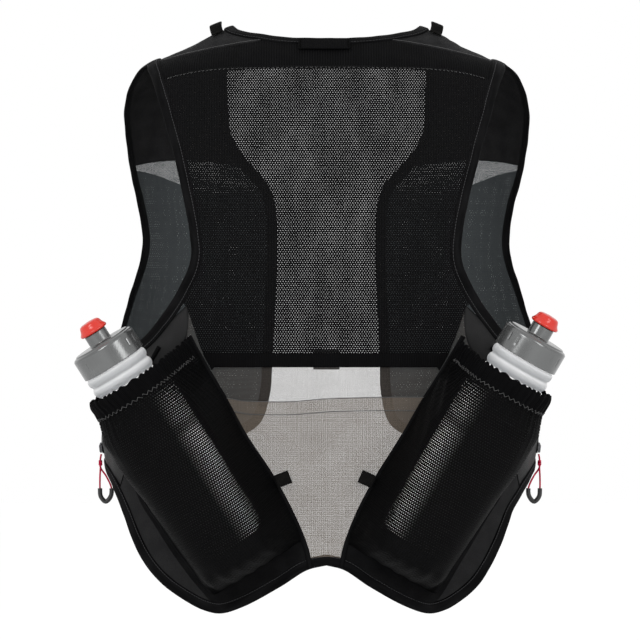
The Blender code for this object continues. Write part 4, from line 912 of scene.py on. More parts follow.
def woven_cloth(tree, pitch, dark, light, depth=0.00012, roughness=0.65, gloss=CLOTH_GLOSS, creases=0.0):
    """Plain or twill cloth: two crossing ribs, with a patchy tone and soft creases."""
    u, v = cloth_places(tree)
    height = sine(u + v, pitch) * sine(u - v, pitch) + grain(tree, 60.0, (1.0, 0.6, 1.0)) * creases
    share = eased(grain(tree, 70.0) * grain(tree, 900.0), 0.1, 0.45)
    surface(tree, mixed(share, dark, light), roughness, normal=relief(height, depth),
            specular_ior_level=gloss)


def stitched_tape(tree, dark, light, seam, thread=(0.05, 0.05, 0.052)):
    """Knitted edge tape with a line of stitches at a distance across it."""
    u, v = cloth_places(tree)
    knit = sine(u, 0.0007) * sine(v, 0.0006)
    share = eased(grain(tree, 160.0, (0.2, 1.0, 1.0)), 0.3, 0.75)
    along = fract(u / STITCH_PITCH)
    off = abs(v - seam)
    stitch = (along > 0.12) * (along < 0.86) * (off < 0.00025)
    groove = eased(off, 0.0002, 0.0011, 1.0, 0.0)
    height = knit * 0.3 + share - groove * 2.5 + stitch * 2.2
    cloth(tree, mixed(stitch, mixed(share, dark, light), thread), 0.65, normal=relief(height, 0.0002))


def moulded(tree, dark, light, roughness, metallic=0.0, fineness=900.0, stretch=(1.0, 1.0, 1.0),
            depth=0.00003):
    """Moulded plastic, rubber or metal with a fine grain and light scuffs."""
    fine = grain(tree, fineness, stretch, 4.0, on_cloth=False)
    scuff = eased(grain(tree, 45.0, detail=6.0, on_cloth=False), 0.35, 0.75)
    rough = eased(fine * 0.6 + scuff * 0.4, 0.1, 0.9, 0.7 * roughness, 1.3 * roughness)
    surface(tree, mixed(fine * scuff, dark, light), rough, normal=relief(fine, depth), metallic=metallic)


def bottle_plastic_with_painted_light(tree, side):
    """Milky plastic, light and glowing at the neck, with the body painted near black as painted shade and a
    painted band of light down one side of it.
    """
    turn, height = cloth_places(tree)
    cloudy = grain(tree, 25.0, (1.0, 1.0, 0.4), 4.0, on_cloth=False)
    # A painted band of light down the body's side toward the vest's middle, standing in for light from the
    # vest's open front passing through the bottle; it fades out toward both ends of the body and is dimmed in
    # a narrow ring part way down.
    band = eased(abs(turn - (PAINTED_LIGHT_TURN if side > 0 else 2 * math.pi - PAINTED_LIGHT_TURN)), 0.05, 0.80, 1.0, 0.0)
    ends = eased(height, -0.224, -0.205) * eased(height, -0.066, -0.058, 1.0, 0.0)
    waist = eased(abs(height + 0.099), 0.001, 0.009, 0.35, 1.0)
    # The mask is 1 at the neck, which shows the plastic's own light milky colour above the collar, and 1 on
    # the painted band of light; where it is 0 the body is painted near black as painted shade under the
    # holster.
    clear = calc("MAXIMUM", band * ends * waist, eased(height, -0.050, -0.044))
    body = mixed(clear, (0.012, 0.012, 0.013), (0.66, 0.67, 0.68))
    body = mixed(0.35, body, mixed(cloudy, (0.7, 0.7, 0.7), (1.0, 1.0, 1.0)), blend_type="MULTIPLY")
    shader, output = surface(tree, body, eased(cloudy, 0.2, 0.8, 0.24, 0.40), coat_weight=0.15)
    # The translucent colour follows the same mask: light passes at the neck and in the painted band of light,
    # and almost none passes where the body is painted as shade.
    glow = mixed(clear, (0.008, 0.008, 0.008), (0.88, 0.90, 0.92))
    through = new_node(tree, "BsdfTranslucent", {"Color": glow})
    both = new_node(tree, "MixShader", (BOTTLE_TRANSLUCENCY, Wire(shader.outputs[0]), through))
    put(both, output.inputs[0])


def floor_paint(tree):
    """A pale matt floor that glows faintly."""
    speck = grain(tree, 8.0, detail=2.0, on_cloth=False)
    surface(tree, mixed(speck, (0.93, 0.93, 0.93), (0.96, 0.96, 0.96)), 0.9,
            emission_color=(1.0, 1.0, 1.0, 1.0), emission_strength=BACKDROP_GLOW)


BLACK = (0.0020, 0.0020, 0.0022)
LOOKS = {
    "back_sheer": (sheer_cloth, 0.27, (0.040, 0.035, 0.031), (0.080, 0.071, 0.064)),
    "lumbar_sheer": (sheer_cloth, 0.345, (0.090, 0.074, 0.060), (0.18, 0.150, 0.122), 0.00047),
    "front_sheer": (sheer_cloth, 0.64, (0.040, 0.045, 0.048), (0.070, 0.078, 0.081)),
    "back_net": (net_cloth, (0.00235, 0.0019), 0.00041, BLACK, (0.007, 0.007, 0.0075), 0.5),
    "front_net": (net_cloth, (0.0026, 0.0021), 0.00030, BLACK, (0.009, 0.010, 0.011), 0.4, 0.9),
    "holster_net": (net_cloth, (0.0024, 0.0024), 0.00052, (0.0015, 0.0015, 0.0016), (0.0045, 0.0045, 0.0048),
                    0.2, 0.0, BODY_END - 0.004),
    "yoke_cloth": (ribbed_cloth, 0.0023, BLACK, (0.0085, 0.0085, 0.009)),
    "hem_band": (ribbed_cloth, 0.0016, BLACK, (0.0065, 0.0065, 0.007)),
    "collar_cloth": (ribbed_cloth, 0.0011, (0.0012, 0.0012, 0.0014), (0.0070, 0.0070, 0.0075)),
    "strap_cloth": (woven_cloth, 0.0008, (0.011, 0.011, 0.0115), (0.021, 0.021, 0.0215)),
    "softshell_cloth": (woven_cloth, 0.0007, (0.0040, 0.0040, 0.0043), (0.0072, 0.0072, 0.0076), 0.0001, 0.5,
                        0.25, 1.2),
    "flange_cloth": (woven_cloth, 0.0007, (0.013, 0.013, 0.0135), (0.020, 0.020, 0.0205), 0.0001, 0.6,
                     CLOTH_GLOSS, 2.2),
    "base_cloth": (woven_cloth, 0.0009, (0.0030, 0.0030, 0.0032), (0.0068, 0.0068, 0.0072), 0.00012, 0.65,
                   CLOTH_GLOSS, 1.5),
    "webbing_cloth": (woven_cloth, 0.0012, (0.0035, 0.0035, 0.0035), (0.010, 0.0095, 0.009), 0.0003, 0.7),
    "cord_red": (woven_cloth, 0.0009, (0.70, 0.012, 0.060), (0.90, 0.05, 0.14), 0.0003, 0.5),
    "thread_grey": (woven_cloth, 0.0006, (0.07, 0.07, 0.07), (0.22, 0.22, 0.22)),
    "binding": (stitched_tape, BLACK, (0.0062, 0.0062, 0.0066), 0.0085),
    "coil_zip": (stitched_tape, BLACK, (0.02, 0.02, 0.021), 0.003, (0.03, 0.03, 0.03)),
    "cap_grey": (moulded, (0.135, 0.138, 0.138), (0.19, 0.194, 0.194), 0.26, 0.75, 700.0, (1.0, 1.0, 0.12),
                 0.00004),
    "nozzle_red": (moulded, (0.52, 0.020, 0.010), (0.62, 0.036, 0.020), 0.25),
    "slider_steel": (moulded, (0.16, 0.16, 0.17), (0.32, 0.32, 0.33), 0.3, 1.0),
    "grip_black": (moulded, (0.008, 0.008, 0.008), (0.02, 0.02, 0.02), 0.5),
    "clasp_black": (moulded, (0.012, 0.012, 0.012), (0.026, 0.026, 0.026), 0.4),
    # The bottles' plastic paints shade over the body and a band of light down the side toward the vest's
    # middle.
    "left_bottle_plastic_with_painted_light": (bottle_plastic_with_painted_light, -1),
    "right_bottle_plastic_with_painted_light": (bottle_plastic_with_painted_light, 1),
    "pale_floor": (floor_paint,),
}
MADE = {}


def look(name):
    """A finish's material, made when it is first asked for."""
    if name not in MADE:
        MADE[name] = bpy.data.materials.new(name)
        MADE[name].use_nodes = True
        tree = MADE[name].node_tree
        tree.nodes.clear()
        maker, *values = LOOKS[name]
        maker(tree, *values)
    return MADE[name]


def walked(points):
    """Lengths of paths, given as points along the first axis."""
    return np.linalg.norm(np.diff(points, axis=0), axis=-1).sum(axis=0)


def cloth_grid(grid, steps=24, start=-0.15):
    """A grid's turns and heights, with their signed distances round and down the torso, in metres."""
    turn, z = grid[..., 0], grid[..., 1]
    shares = np.linspace(0, 1, steps + 1).reshape(-1, 1, 1)
    round_body = np.sign(turn) * walked(torso(turn * shares, z + 0 * shares))
    down_body = np.sign(z - start) * walked(torso(turn + 0 * shares, start + (z - start) * shares))
    return turn, z, round_body, down_body


def placed(name, data):
    """A new object, linked to the scene."""
    made = bpy.data.objects.new(name, data)
    bpy.context.collection.objects.link(made)
    return made


def dressed(made, finish, node=None, body="vest"):
    """Gives a piece its finish and its body, and lets it stand for its CAD node."""
    made.data.materials.append(look(finish))
    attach(made, body)
    if node:
        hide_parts(node)
    return made


def add_mesh(name, points, faces, places, finish, node=None, body="vest"):
    """Adds a piece with cloth coordinates."""
    mesh = bpy.data.meshes.new(name)
    mesh.from_pydata([tuple(map(float, p)) for p in points.reshape(-1, 3)], [], faces)
    loops = np.zeros(len(mesh.loops), int)
    mesh.loops.foreach_get("vertex_index", loops)
    places = places.reshape(-1, 2).astype(float)[loops]
    mesh.uv_layers.new(name="UVMap").data.foreach_set("uv", places.ravel())
    mesh.shade_smooth()
    return dressed(placed(name, mesh), finish, node, body)


def waves(u, v, seed, size, longest=0.055, upright=1.0):
    """Soft wrinkles: a few long sine waves with seeded directions."""
    chance = random.Random(seed)
    total = np.zeros_like(u)
    for _ in range(6):
        angle = chance.uniform(-0.5, 0.5) * math.pi * upright
        length = longest * chance.uniform(0.3, 1.0)
        along = (u * math.cos(angle) + v * math.sin(angle)) * 2 * math.pi / length
        along = along + chance.uniform(0, 6.28)
        total += np.sin(along + 1.4 * np.sin(v / longest * 3 + chance.uniform(0, 6)))
    return size * total / 3


def sheet(name, grid, height, finish, node, wrinkle=0.0, seed=1, upright=1.0):
    """One layer of open cloth over the torso surface, with soft wrinkles that die out at its edges."""
    turn, z, u, v = cloth_grid(grid)
    rows, columns = turn.shape
    fade = (np.sin(np.linspace(0, math.pi, rows))[:, None] * np.sin(np.linspace(0, math.pi, columns))) ** 0.5
    lift = height + wrinkle * fade * (0.5 + waves(u, v, seed, 0.5, upright=upright))
    points = torso(turn, z) + torso_normals(turn, z) * lift[..., None]
    faces = [(a, d, c, b) for a, b, c, d in grid_faces(rows, columns)]
    return add_mesh(name, points, faces, np.stack([u, v], axis=-1), finish, node)


def solid(name, grid, low, high, finish, node, wrinkle=0.0, seed=1, puff=0.0):
    """A wall of closed cloth over the torso surface, with rounded edges and soft wrinkles."""
    turn, z, u, v = cloth_grid(grid)
    low, high = (np.broadcast_to(value, turn.shape) for value in (low, high))
    rows, columns = turn.shape
    down, across = np.linspace(0, 1, rows)[:, None], np.linspace(0, 1, columns)[None]
    edge = np.minimum(np.minimum(down, 1 - down) * rows, np.minimum(across, 1 - across) * columns)
    crown = (np.sin(down * math.pi) * np.sin(across * math.pi)) ** 0.7
    outer = high + np.clip(edge / 6, 0, 1) * wrinkle * (0.4 + waves(u, v, seed, 0.6)) + puff * crown
    outer = np.where(edge < 1, low + 0.7 * (high - low), outer)
    base, normal = torso(turn, z), torso_normals(turn, z)
    points = np.stack([base + normal * outer[..., None], base + normal * low[..., None]])
    places = np.stack([u, v], axis=-1)
    places = np.stack([places, places])
    return add_mesh(name, points, shell_faces(rows, columns), places, finish, node)


def power(value, exponent):
    return np.sign(value) * np.abs(value) ** exponent


def tape(name, line, width, count, finish, node, closed=False, low=-0.0002, high=TAPE_THICKNESS,
         seed=1):
    """An edge tape: a flat rounded tube between a line and the same line shifted sideways."""
    first, last = ribbon(line, width, count, closed)
    angles = np.linspace(0, 2 * math.pi, TAPE_SIDES, endpoint=False)
    share = 0.5 + 0.5 * power(np.cos(angles), 0.55)
    lift = ((low + high) / 2 + (high - low) / 2 * power(np.sin(angles), 0.75))[:, None]
    flat = (1 - share[:, None, None]) * first + share[:, None, None] * last
    base, normal = torso(flat[..., 0], flat[..., 1]), torso_normals(flat[..., 0], flat[..., 1])
    steps = np.linalg.norm(np.diff(torso(first[:, 0], first[:, 1]), axis=0), axis=1)
    run = np.concatenate([[0], np.cumsum(steps)])
    ripple = 1 + 0.10 * np.sin(run / 0.013 + seed) * np.sin(run / 0.0047)
    points = base + normal * (lift * ripple)[..., None]
    across = np.abs(width) * share + np.where(np.sin(angles) < 0, 0.02, 0)
    places = np.stack(np.broadcast_arrays(run, across[:, None]), axis=-1)
    rows, columns = points.shape[:2]
    faces = grid_faces(rows, columns, ring=closed, tube=True)
    if not closed:
        faces += [tuple(range(0, rows * columns, columns)), tuple(range(rows * columns - 1, 0, -columns))]
    return add_mesh(name, points, faces, places, finish, node)


def zigzag(name, left, right, finish="thread_grey", size=0.00028):
    """A line of zigzag stitches between two rows of points."""
    return thread(name, [left[k] if k % 2 else right[k] for k in range(len(left))], size, finish)


def thread(name, points, radius, finish, sides=2, node=None, slot=None):
    """A round thread through points."""
    curve = bpy.data.curves.new(name, "CURVE")
    curve.dimensions = "3D"
    curve.bevel_depth = radius
    curve.bevel_resolution = sides
    curve.use_fill_caps = True
    line = curve.splines.new("POLY")
    line.points.add(len(points) - 1)
    for point, place in zip(line.points, points):
        point.co = (*map(float, place), 1.0)
    return dressed(placed(name, curve), finish, node)


def on_torso(line, height):
    """Points over a line on the torso, at a height above its surface."""
    return torso(line[:, 0], line[:, 1]) + torso_normals(line[:, 0], line[:, 1]) * height


def make_back():
    """The back panel, the yoke, the net pocket with its hem band, and the tube port."""
    sides = [back_side(side) for side in SIDES]
    bottom = hem_between(sides[0][-1], sides[1][-1])
    grid = filled(yoke_lower_seam(TAPE_GAP), bottom, sides[0], sides[1], 14, 15)
    back = sheet("back_panel_cloth", grid, 0.0005, "back_sheer", "back_panel", 0.0004, 3)
    halves, sides = [], []
    for side in SIDES:
        edge, ring = outer_edge(side, EDGE_SEAM), armhole(side, ARM_SEAM)
        strap_seam = cut_at(beyond(outline(YOKE_STRAP_SEAM, side), edge), ring)
        sides.append(around(ring, strap_seam[-1], row(*YOKE_LOWER_SEAM[0], side)))
        halves.append(joined(edge[:nearest(edge[:len(edge) // 2], strap_seam[0])], strap_seam))
        line = resample(shift(strap_seam, side * 0.0015), 60)
        thread(side_name(side) + "_strap_seam_stitches", on_torso(line, YOKE_STITCH_LIFT), 0.0002,
               "thread_grey")
    top = np.vstack([halves[0][::-1], halves[1][1:]])
    grid = filled(top, yoke_lower_seam(0.0), sides[0], sides[1], 18, 2)
    solid("back_yoke_cloth", grid, 0.0, SOLID_CLOTH_THICKNESS, "yoke_cloth", "back_yoke",
          0.0006, 5)
    seam = resample(yoke_lower_seam(0.0)[40:-40], 150)
    zigzag("yoke_seam_stitches", on_torso(seam + [0, 0.0006], 0.0019), on_torso(seam - [0, 0.0012], 0.0030))
    bottom = outline(POCKET_BOTTOM)
    hem_bottom = bottom - np.array([0, POCKET_HEM_WIDTH])
    sides = [pocket_side(side) for side in SIDES]
    upper = [cut_at(side, bottom) for side in sides]
    grid = filled(yoke_lower_seam(TAPE_GAP), bottom, upper[0], upper[1], 14, 9)
    pocket = sheet("back_pocket_net", grid, OVERLAY_LOW + 0.0004, "back_net", "back_pocket",
                   0.0012, 7, 0.4)
    lower = [side[nearest(side, cut_at(side, bottom)[-1]):] for side in sides]
    grid = filled(bottom, hem_bottom, lower[0], lower[1], 14, 2)
    solid("pocket_hem_band", grid, OVERLAY_LOW, OVERLAY_TOP + HEM_EXTRA, "hem_band",
          "pocket_hem", 0.0002, 8)
    top = np.array([row(turn, TUBE_PORT_TOP) for turn in np.linspace(*TUBE_PORT_TURNS, 60)])
    grid = band_grid(top, -TUBE_PORT_HEIGHT, 24)
    low = TAPE_THICKNESS + JOINT_GAP
    solid("tube_port_patch", grid, low, low + PANEL_THICKNESS, "hem_band", "tube_port",
          0.0001, 2)
    for end in (2, -3):
        line = resample(grid[2:-2, end], 14)
        zigzag(f"tube_port_bartack_{end % 10}", on_torso(line + [0.004, 0], low + 0.0012),
               on_torso(line - [0.004, 0], low + 0.0012), "webbing_cloth", 0.0004)


def make_edges():
    """The tapes along the neck, the hem, the fronts and the armholes."""
    neck, hems = [], []
    for side in SIDES:
        edge = outer_edge(side)
        shoulder = nearest(edge, row(*SHOULDER_JOINT, side))
        corner = nearest(edge, row(*HEM_JOINT, side))
        neck.append(edge[:shoulder])
        hems.append(edge[corner + 2:])
        name = side_name(side)
        tape(name + "_front_binding_tape", edge[shoulder + 2:corner], -side * EDGE_TAPE_WIDTH, 216, "binding",
             name + "_front_binding", seed=side)
        tape(name + "_armhole_binding_tape", armhole(side), -side * ARMHOLE_TAPE_WIDTH, 320, "binding",
             name + "_armhole_binding", closed=True, seed=side + 3)
    line = np.vstack([neck[0][::-1], neck[1][1:]])
    tape("neck_binding_tape", line, -EDGE_TAPE_WIDTH, 168, "binding", "neck_binding")
    line = np.vstack([hems[0], hems[1][::-1][1:]])
    tape("hem_binding_tape", line, EDGE_TAPE_WIDTH, 424, "binding", "hem_binding")


def make_lumbar():
    """The sheer lumbar pocket and the band along its top."""
    sides = []
    for side in SIDES:
        seam = shift(outline(HOLSTER_INNER_SEAM, side), -side * HOLSTER_MARGIN)
        start = nearest(seam, row(*LUMBAR_TOP[-1], side))
        sides.append(cut_at(seam[start:], outer_edge(side, EDGE_SEAM)))
    bottom = hem_between(sides[0][-1], sides[1][-1])
    grid = filled(outline(LUMBAR_TOP), bottom, sides[0], sides[1], 8, 10)
    run = np.cumsum(np.linalg.norm(np.diff(torso(grid[:, 0, 0], grid[:, 0, 1]), axis=0), axis=1))
    split = 1 + int(np.argmin(np.abs(run - LUMBAR_BAND_WIDTH)))
    height = OVERLAY_LOW + 0.0004
    band = sheet("lumbar_band_cloth", grid[:split + 1], height + 0.0003, "lumbar_sheer",
                 "lumbar_band", 0.0002, 4)
    layer = sheet("lumbar_pocket_cloth", grid[split:], height, "lumbar_sheer", "lumbar_pocket",
                  0.0005, 12)
    for k, line in enumerate((grid[0], grid[split])):
        thread(f"lumbar_edge_{k}", on_torso(line, height + 0.0004), 0.00035, "thread_grey")


def make_side(side):
    """One side's strap cover, front, chest pocket, side panel, flange and shoulder loop."""
    name = side_name(side)
    edge = outer_edge(side, EDGE_SEAM)
    seam = shift(outline(YOKE_STRAP_SEAM, side), side * TAPE_GAP)
    top = cut_at(beyond(seam, edge), armhole(side, ARM_SEAM))
    bottom = outline(COVER_LOWER_SEAM, side)
    upper_edge = edge[:len(edge) * 2 // 3]
    inner = between(upper_edge, top[0], bottom[0])
    outer = around(armhole(side, ARM_SEAM), bottom[-1], top[-1])[::-1]
    solid(name + "_strap_cover_cloth", filled(top, bottom, inner, outer, 5, 13), 0.0, 0.0013, "strap_cloth",
          name + "_strap_cover", 0.0008, 20 + side)
    line = resample(bottom, 70)
    thread(name + "_cover_seam", on_torso(line, 0.0014), 0.0005, "webbing_cloth")
    top = outline(COVER_LOWER_SEAM, side) - np.array([0, TAPE_GAP])
    front = sheet(name + "_front_panel_cloth", front_grid(side, top, 6, 11), 0.0004, "front_sheer",
                  name + "_front_panel", 0.0005, 30 + side)
    top = outline(CHEST_POCKET_TOP, side)
    grid = front_grid(side, top, 9, 11)
    low = OVERLAY_LOW + CHEST_POCKET_LIFT
    chest = sheet(name + "_chest_pocket_net", grid, low - 0.0004, "front_net",
                  name + "_chest_pocket", 0.0016, 40 + side, 0.3)
    line = ended(top, grid[0, 0], grid[0, -1])
    band = tape(name + "_pocket_elastic_band", line[8:-8], -side * ELASTIC_WIDTH, 70, "binding",
                name + "_pocket_elastic", low=low - 0.0006, high=low + 0.0012)
    ring = armhole(side, ARM_SEAM)
    aside = side * SIDE_SEAM_GAP / 2
    rear = cut_at(beyond(shift(outline(SIDE_SEAM, side), aside), ring), edge)
    fore = cut_at(beyond(shift(outline(FRONT_SIDE_SEAM, side), -aside), ring), edge)
    top = around(ring, rear[0], fore[0])
    lower = edge[len(edge) // 2:]
    split = nearest(rear, row(*FLANGE_TOP, side))
    cut = np.linspace(rear[split], lower[nearest(lower, row(*FLANGE_FOOT, side))], 40)
    grid = filled(top, between(lower, cut[-1], fore[-1]), joined(rear[:split], cut), fore, 9, 8)
    solid(name + "_side_panel_cloth", grid, 0.0, 0.0012, "softshell_cloth", name + "_side_panel",
          0.0012, 50 + side, puff=0.0015)
    start = cut + side * np.array([-TAPE_GAP / CHEST_HALF_WIDTH, 0.0])
    rear = rear[split + 4:int(len(rear) * FLANGE_END)]
    bottom = between(lower, start[-1], rear[-1])
    tip = np.linspace(rear[-1], bottom[-1], 10)
    solid(name + "_side_flange_cloth", filled(rear, bottom, start, tip, 12, 2), 0.0, 0.0017, "flange_cloth",
          name + "_side_flange", 0.0004, 60 + side)
    thread(name + "_flange_seam", on_torso(resample(cut, 90)[3:-3], 0.0016), 0.0007, "base_cloth")
    line = outline(SHOULDER_LOOP_LINE, side)
    grid = band_grid(shift(line, side * LOOP_WIDTH / 2), -side * LOOP_WIDTH, 12)
    shares = np.linspace(0, 1, 60)
    arch = np.clip(np.minimum(shares, 1 - shares) * 5 - 0.55, 0, 1)
    low = (TAPE_THICKNESS + JOINT_GAP + LOOP_HEIGHT * arch * arch * (3 - 2 * arch))[None]
    solid(name + "_shoulder_loop_webbing", grid, low, low + STRAP_THICKNESS, "webbing_cloth",
          name + "_shoulder_loop")


def lathe(name, rows, sides, finish, side, body, node, dent=None):
    """A body turned round the bottle's axis, with a fine ring of sides and an optional dent pattern."""
    place = seat_matrix(side)
    angles = np.linspace(0, 2 * math.pi, sides, endpoint=False)
    points, places = [], []
    for radius, height in rows:
        size = radius + (dent(angles, radius, height) if dent else 0 * angles)
        for angle, far in zip(angles, size):
            points.append(place @ Vector((far * math.cos(angle), far * math.sin(angle), height)))
            places.append((angle, height))
    made = add_mesh(name, np.array(points), grid_faces(len(rows), sides, ring=True), np.array(places), finish,
                    node, body)
    made.data.set_sharp_from_angle(angle=math.radians(50))
    return made


def rounded(rows, size=0.0006, steps=3):
    """A profile with its corners rounded off."""
    rows = np.array(rows, float)
    result = [rows[0]]
    for before, corner, after in zip(rows, rows[1:], rows[2:]):
        back, ahead = before - corner, after - corner
        reach = min(size, 0.45 * np.hypot(*back), 0.45 * np.hypot(*ahead))
        first = corner + back / np.hypot(*back) * reach
        last = corner + ahead / np.hypot(*ahead) * reach
        for share in np.linspace(0, 1, steps + 1):
            result.append((1 - share) ** 2 * first + 2 * share * (1 - share) * corner + share ** 2 * last)
    result.append(rows[-1])
    return result


def grooves(angles, radius, height):
    """Short upright grooves in pairs round the cap's side."""
    if radius < CAP_RADIUS - 0.0005 or not -0.0125 < height < -0.0045:
        return 0 * angles
    turn = (angles - math.radians(8)) % (math.pi / 2) - math.pi / 4
    near = np.minimum(np.abs(turn - GROOVE_TURN), np.abs(turn + GROOVE_TURN)) * CAP_RADIUS
    return -0.0006 * np.clip(1.6 - near / 0.0005, 0, 1)


def make_bottle(side):
    """One bottle with its cap and nozzle, each a turned body."""
    name = side_name(side)
    neck = NECK_RING_RADIUS
    rows = [(neck - 0.004, -0.012), (neck - 0.002, -0.0205)]
    for ring in range(2):
        top = CAP_HEIGHT + 0.0008 + ring * RING_PITCH
        for share in np.linspace(0, 1, 9):
            rows.append((neck - 0.0014 + 0.0017 * math.sin(math.pi * share) ** 0.6, -(top + share * 0.0082)))
    body_top = CAP_HEIGHT + 2.05 * RING_PITCH
    for share in np.linspace(0, 1, 8):
        rows.append((neck - 0.002 + (BODY_RADIUS - neck + 0.002) * math.sin(share * math.pi / 2) ** 0.8,
                     -(body_top + share * SHOULDER_LENGTH)))
    shoulder = body_top + SHOULDER_LENGTH
    rows += [(BODY_RADIUS, -(shoulder + share * (BODY_END - shoulder)))
             for share in np.linspace(0.05, 0.93, 14)]
    for share in np.linspace(0.1, 1, 7):
        rows.append((BODY_RADIUS * (0.86 + 0.14 * math.cos(share * math.pi / 2)),
                     -(BODY_END - 0.012 + 0.012 * math.sin(share * math.pi / 2))))
    rows += [(0.5 * BODY_RADIUS, -BODY_END + 0.0015), (0.0005, -BODY_END + 0.003)]
    # The body's plastic paints shade over most of it and a band of light down its side toward the vest's
    # middle.
    lathe(name + "_bottle_body", rows, 96, name + "_bottle_plastic_with_painted_light", side, "vest", name + "_bottle")
    step = 0.86 * CAP_RADIUS
    rows = [(SPOUT_BORE_RADIUS, -0.002), (SPOUT_BORE_RADIUS, SPOUT_HEIGHT), (SPOUT_RADIUS, SPOUT_HEIGHT),
            (SPOUT_RADIUS, 0.0034), (SPOUT_RADIUS + 0.0012, CAP_STEP), (step, CAP_STEP),
            (step + 0.0009, 0.0012), (CAP_RADIUS - 0.0014, 0.0006), (CAP_RADIUS, -0.0012)]
    rows = rounded(rows) + [(CAP_RADIUS, -height) for height in np.arange(0.0025, 0.0185, 0.0008)]
    rows += rounded([(CAP_RADIUS, -0.0190), (CAP_RADIUS, -CAP_HEIGHT), (CAP_RADIUS - 0.0030, -CAP_HEIGHT),
                     (CAP_RADIUS - 0.0034, -0.006)])
    lathe(name + "_cap_body", rows, 240, "cap_grey", side, name + "_cap", name + "_cap",
          grooves)
    seat = SPOUT_HEIGHT + FIT_CLEARANCE
    stem = SPOUT_BORE_RADIUS - 0.0004
    bends = [(share * NOZZLE_RADIUS, seat + rise * NOZZLE_HEIGHT) for share, rise in NOZZLE_OUTLINE]
    bends = [(stem, seat), *bends, (NOZZLE_HOLE_RADIUS, seat + NOZZLE_HEIGHT - 0.0008)]
    curve = spline([(r, 0.0, h) for r, h in bends], count=60)
    rows = [(stem, seat - 0.008), *((r, h) for r, _, h in curve), (NOZZLE_HOLE_RADIUS, seat - 0.008)]
    lathe(name + "_nozzle_dome", rows, 64, "nozzle_red", side, name + "_nozzle", name + "_nozzle")


def mid_normals(middle):
    """Unit normals of a grid of points."""
    normal = np.cross(np.gradient(middle, axis=0), np.gradient(middle, axis=1))
    return normal / np.maximum(np.linalg.norm(normal, axis=-1, keepdims=True), 1e-12)


def draped(side, stations, across):
    """The holster's cloth with the gathers below its collar and the folds toward the outer seam."""
    middle = holster_surface(side, stations, across)
    normal = mid_normals(middle)
    if np.mean(np.sum(normal * (middle - middle.mean(axis=(0, 1))), axis=-1)) < 0:
        normal = -normal
    steps = np.linalg.norm(np.diff(middle, axis=1), axis=-1)
    v = np.concatenate([np.zeros((len(stations), 1)), np.cumsum(steps, axis=1)], axis=1)
    v -= v[:, -1:] / 2
    u = np.broadcast_to(stations[:, None], v.shape)
    below = np.clip(u - COLLAR_START - COLLAR_HEIGHT, 0, None)
    fans = v * (1 + 0.6 * np.exp(-below / 0.03))
    ripple = np.sin(fans / 0.0010) * 0.35 + np.sin(fans / 0.00155 + 1.0 + 1.2 * np.sin(v / 0.011)) * 0.65
    pull = np.exp(-((u - 0.088) / 0.030) ** 2) * np.clip(v * -side / np.abs(v).max() - 0.15, 0, 1)
    sweep = np.sin((u * 0.8 - v * side * 0.55) / 0.0034) * SWEEP_DEPTH * pull
    edge = np.clip(np.minimum(np.linspace(0, 1, across), np.linspace(1, 0, across)) * 14, 0, 1)
    end = np.exp(-((u - COLLAR_START - HOLSTER_LENGTH + 0.012) / 0.012) ** 2)
    creases = np.sin(v / 0.0032 + 2.0 * np.sin(v / 0.017)) * CREASE_DEPTH * end
    lift = edge * (GATHER_DEPTH * np.exp(-below / 0.020) * ripple + sweep + creases)
    return middle + normal * lift[..., None], normal, u, v


def make_holster(side):
    """One holster: its gathered collar, its net, the dark cloth behind it and its pipings."""
    name = side_name(side)
    across = 161
    collar_end = COLLAR_START + COLLAR_HEIGHT
    end = COLLAR_START + HOLSTER_LENGTH
    parts = ((name + "_collar_gathers", np.linspace(COLLAR_START, collar_end, 18), "collar_cloth",
              name + "_holster_collar", "edge_tape", 0.0005),
             (name + "_holster_net", np.linspace(collar_end - 0.0005, end, 110), "holster_net",
              name + "_holster", "pocket_mesh", NET_HALF))
    for piece, stations, finish, node, slot, half in parts:
        middle, normal, u, v = draped(side, stations, across)
        if node.endswith("collar"):
            frill = (1 - (u - COLLAR_START) / COLLAR_HEIGHT) ** 2
            ruffle = np.sin(v / 0.0013 + 2.6 * np.sin(v / 0.0071) + 1.3 * np.sin(v / 0.0183))
            middle = middle + seat_frame(side)[1] * (FRILL_DEPTH * frill * ruffle)[..., None]
            middle = middle + normal * (COLLAR_PUFF * np.sin(math.pi * (1 - frill)))[..., None]
        places = np.stack([v, u], axis=-1)
        points = np.stack([middle + normal * half, middle - normal * half])
        places = np.stack([places, places])
        made = add_mesh(piece, points, shell_faces(*u.shape), places, finish, node)
    stations = collar_end - 0.0008 + np.array([-1, 0, 1]) * ZIGZAG_REACH
    middle, normal, _, _ = draped(side, stations, 97)
    upper, _, lower = (middle + normal * 0.0009)[:, 4:-4]
    zigzag(name + "_collar_stitches_0", upper, lower)
    hem = outer_edge(side, EDGE_SEAM)
    hem = hem[len(hem) // 2:]
    inner = outline(HOLSTER_INNER_SEAM + HOLSTER_TO_HEM, side)
    outer = outline(HOLSTER_OUTER_SEAM, side)
    spill = outline([(turn + BASE_SPILL, height) for turn, height in HOLSTER_OUTER_SEAM], side)
    left, right = (line[nearest(line, row(*corner, side)):] for line, corner in zip((inner, spill), BASE_TOP))
    grid = filled(np.linspace(left[0], right[0], 30), between(hem, left[-1], right[-1]), left, right, 12, 10)
    solid(name + "_holster_base_cloth", grid, 0.0019, 0.0027, "base_cloth", None, 0.0003, 70 + side)
    for k, (line, width) in enumerate(((inner, -0.0045), (outer[:int(0.93 * len(outer))], 0.0040))):
        tape(f"{name}_holster_piping_{k}", shift(line, -side * width / 2), side * width, 200, "binding",
             None, low=0.0008, high=0.0040, seed=k)


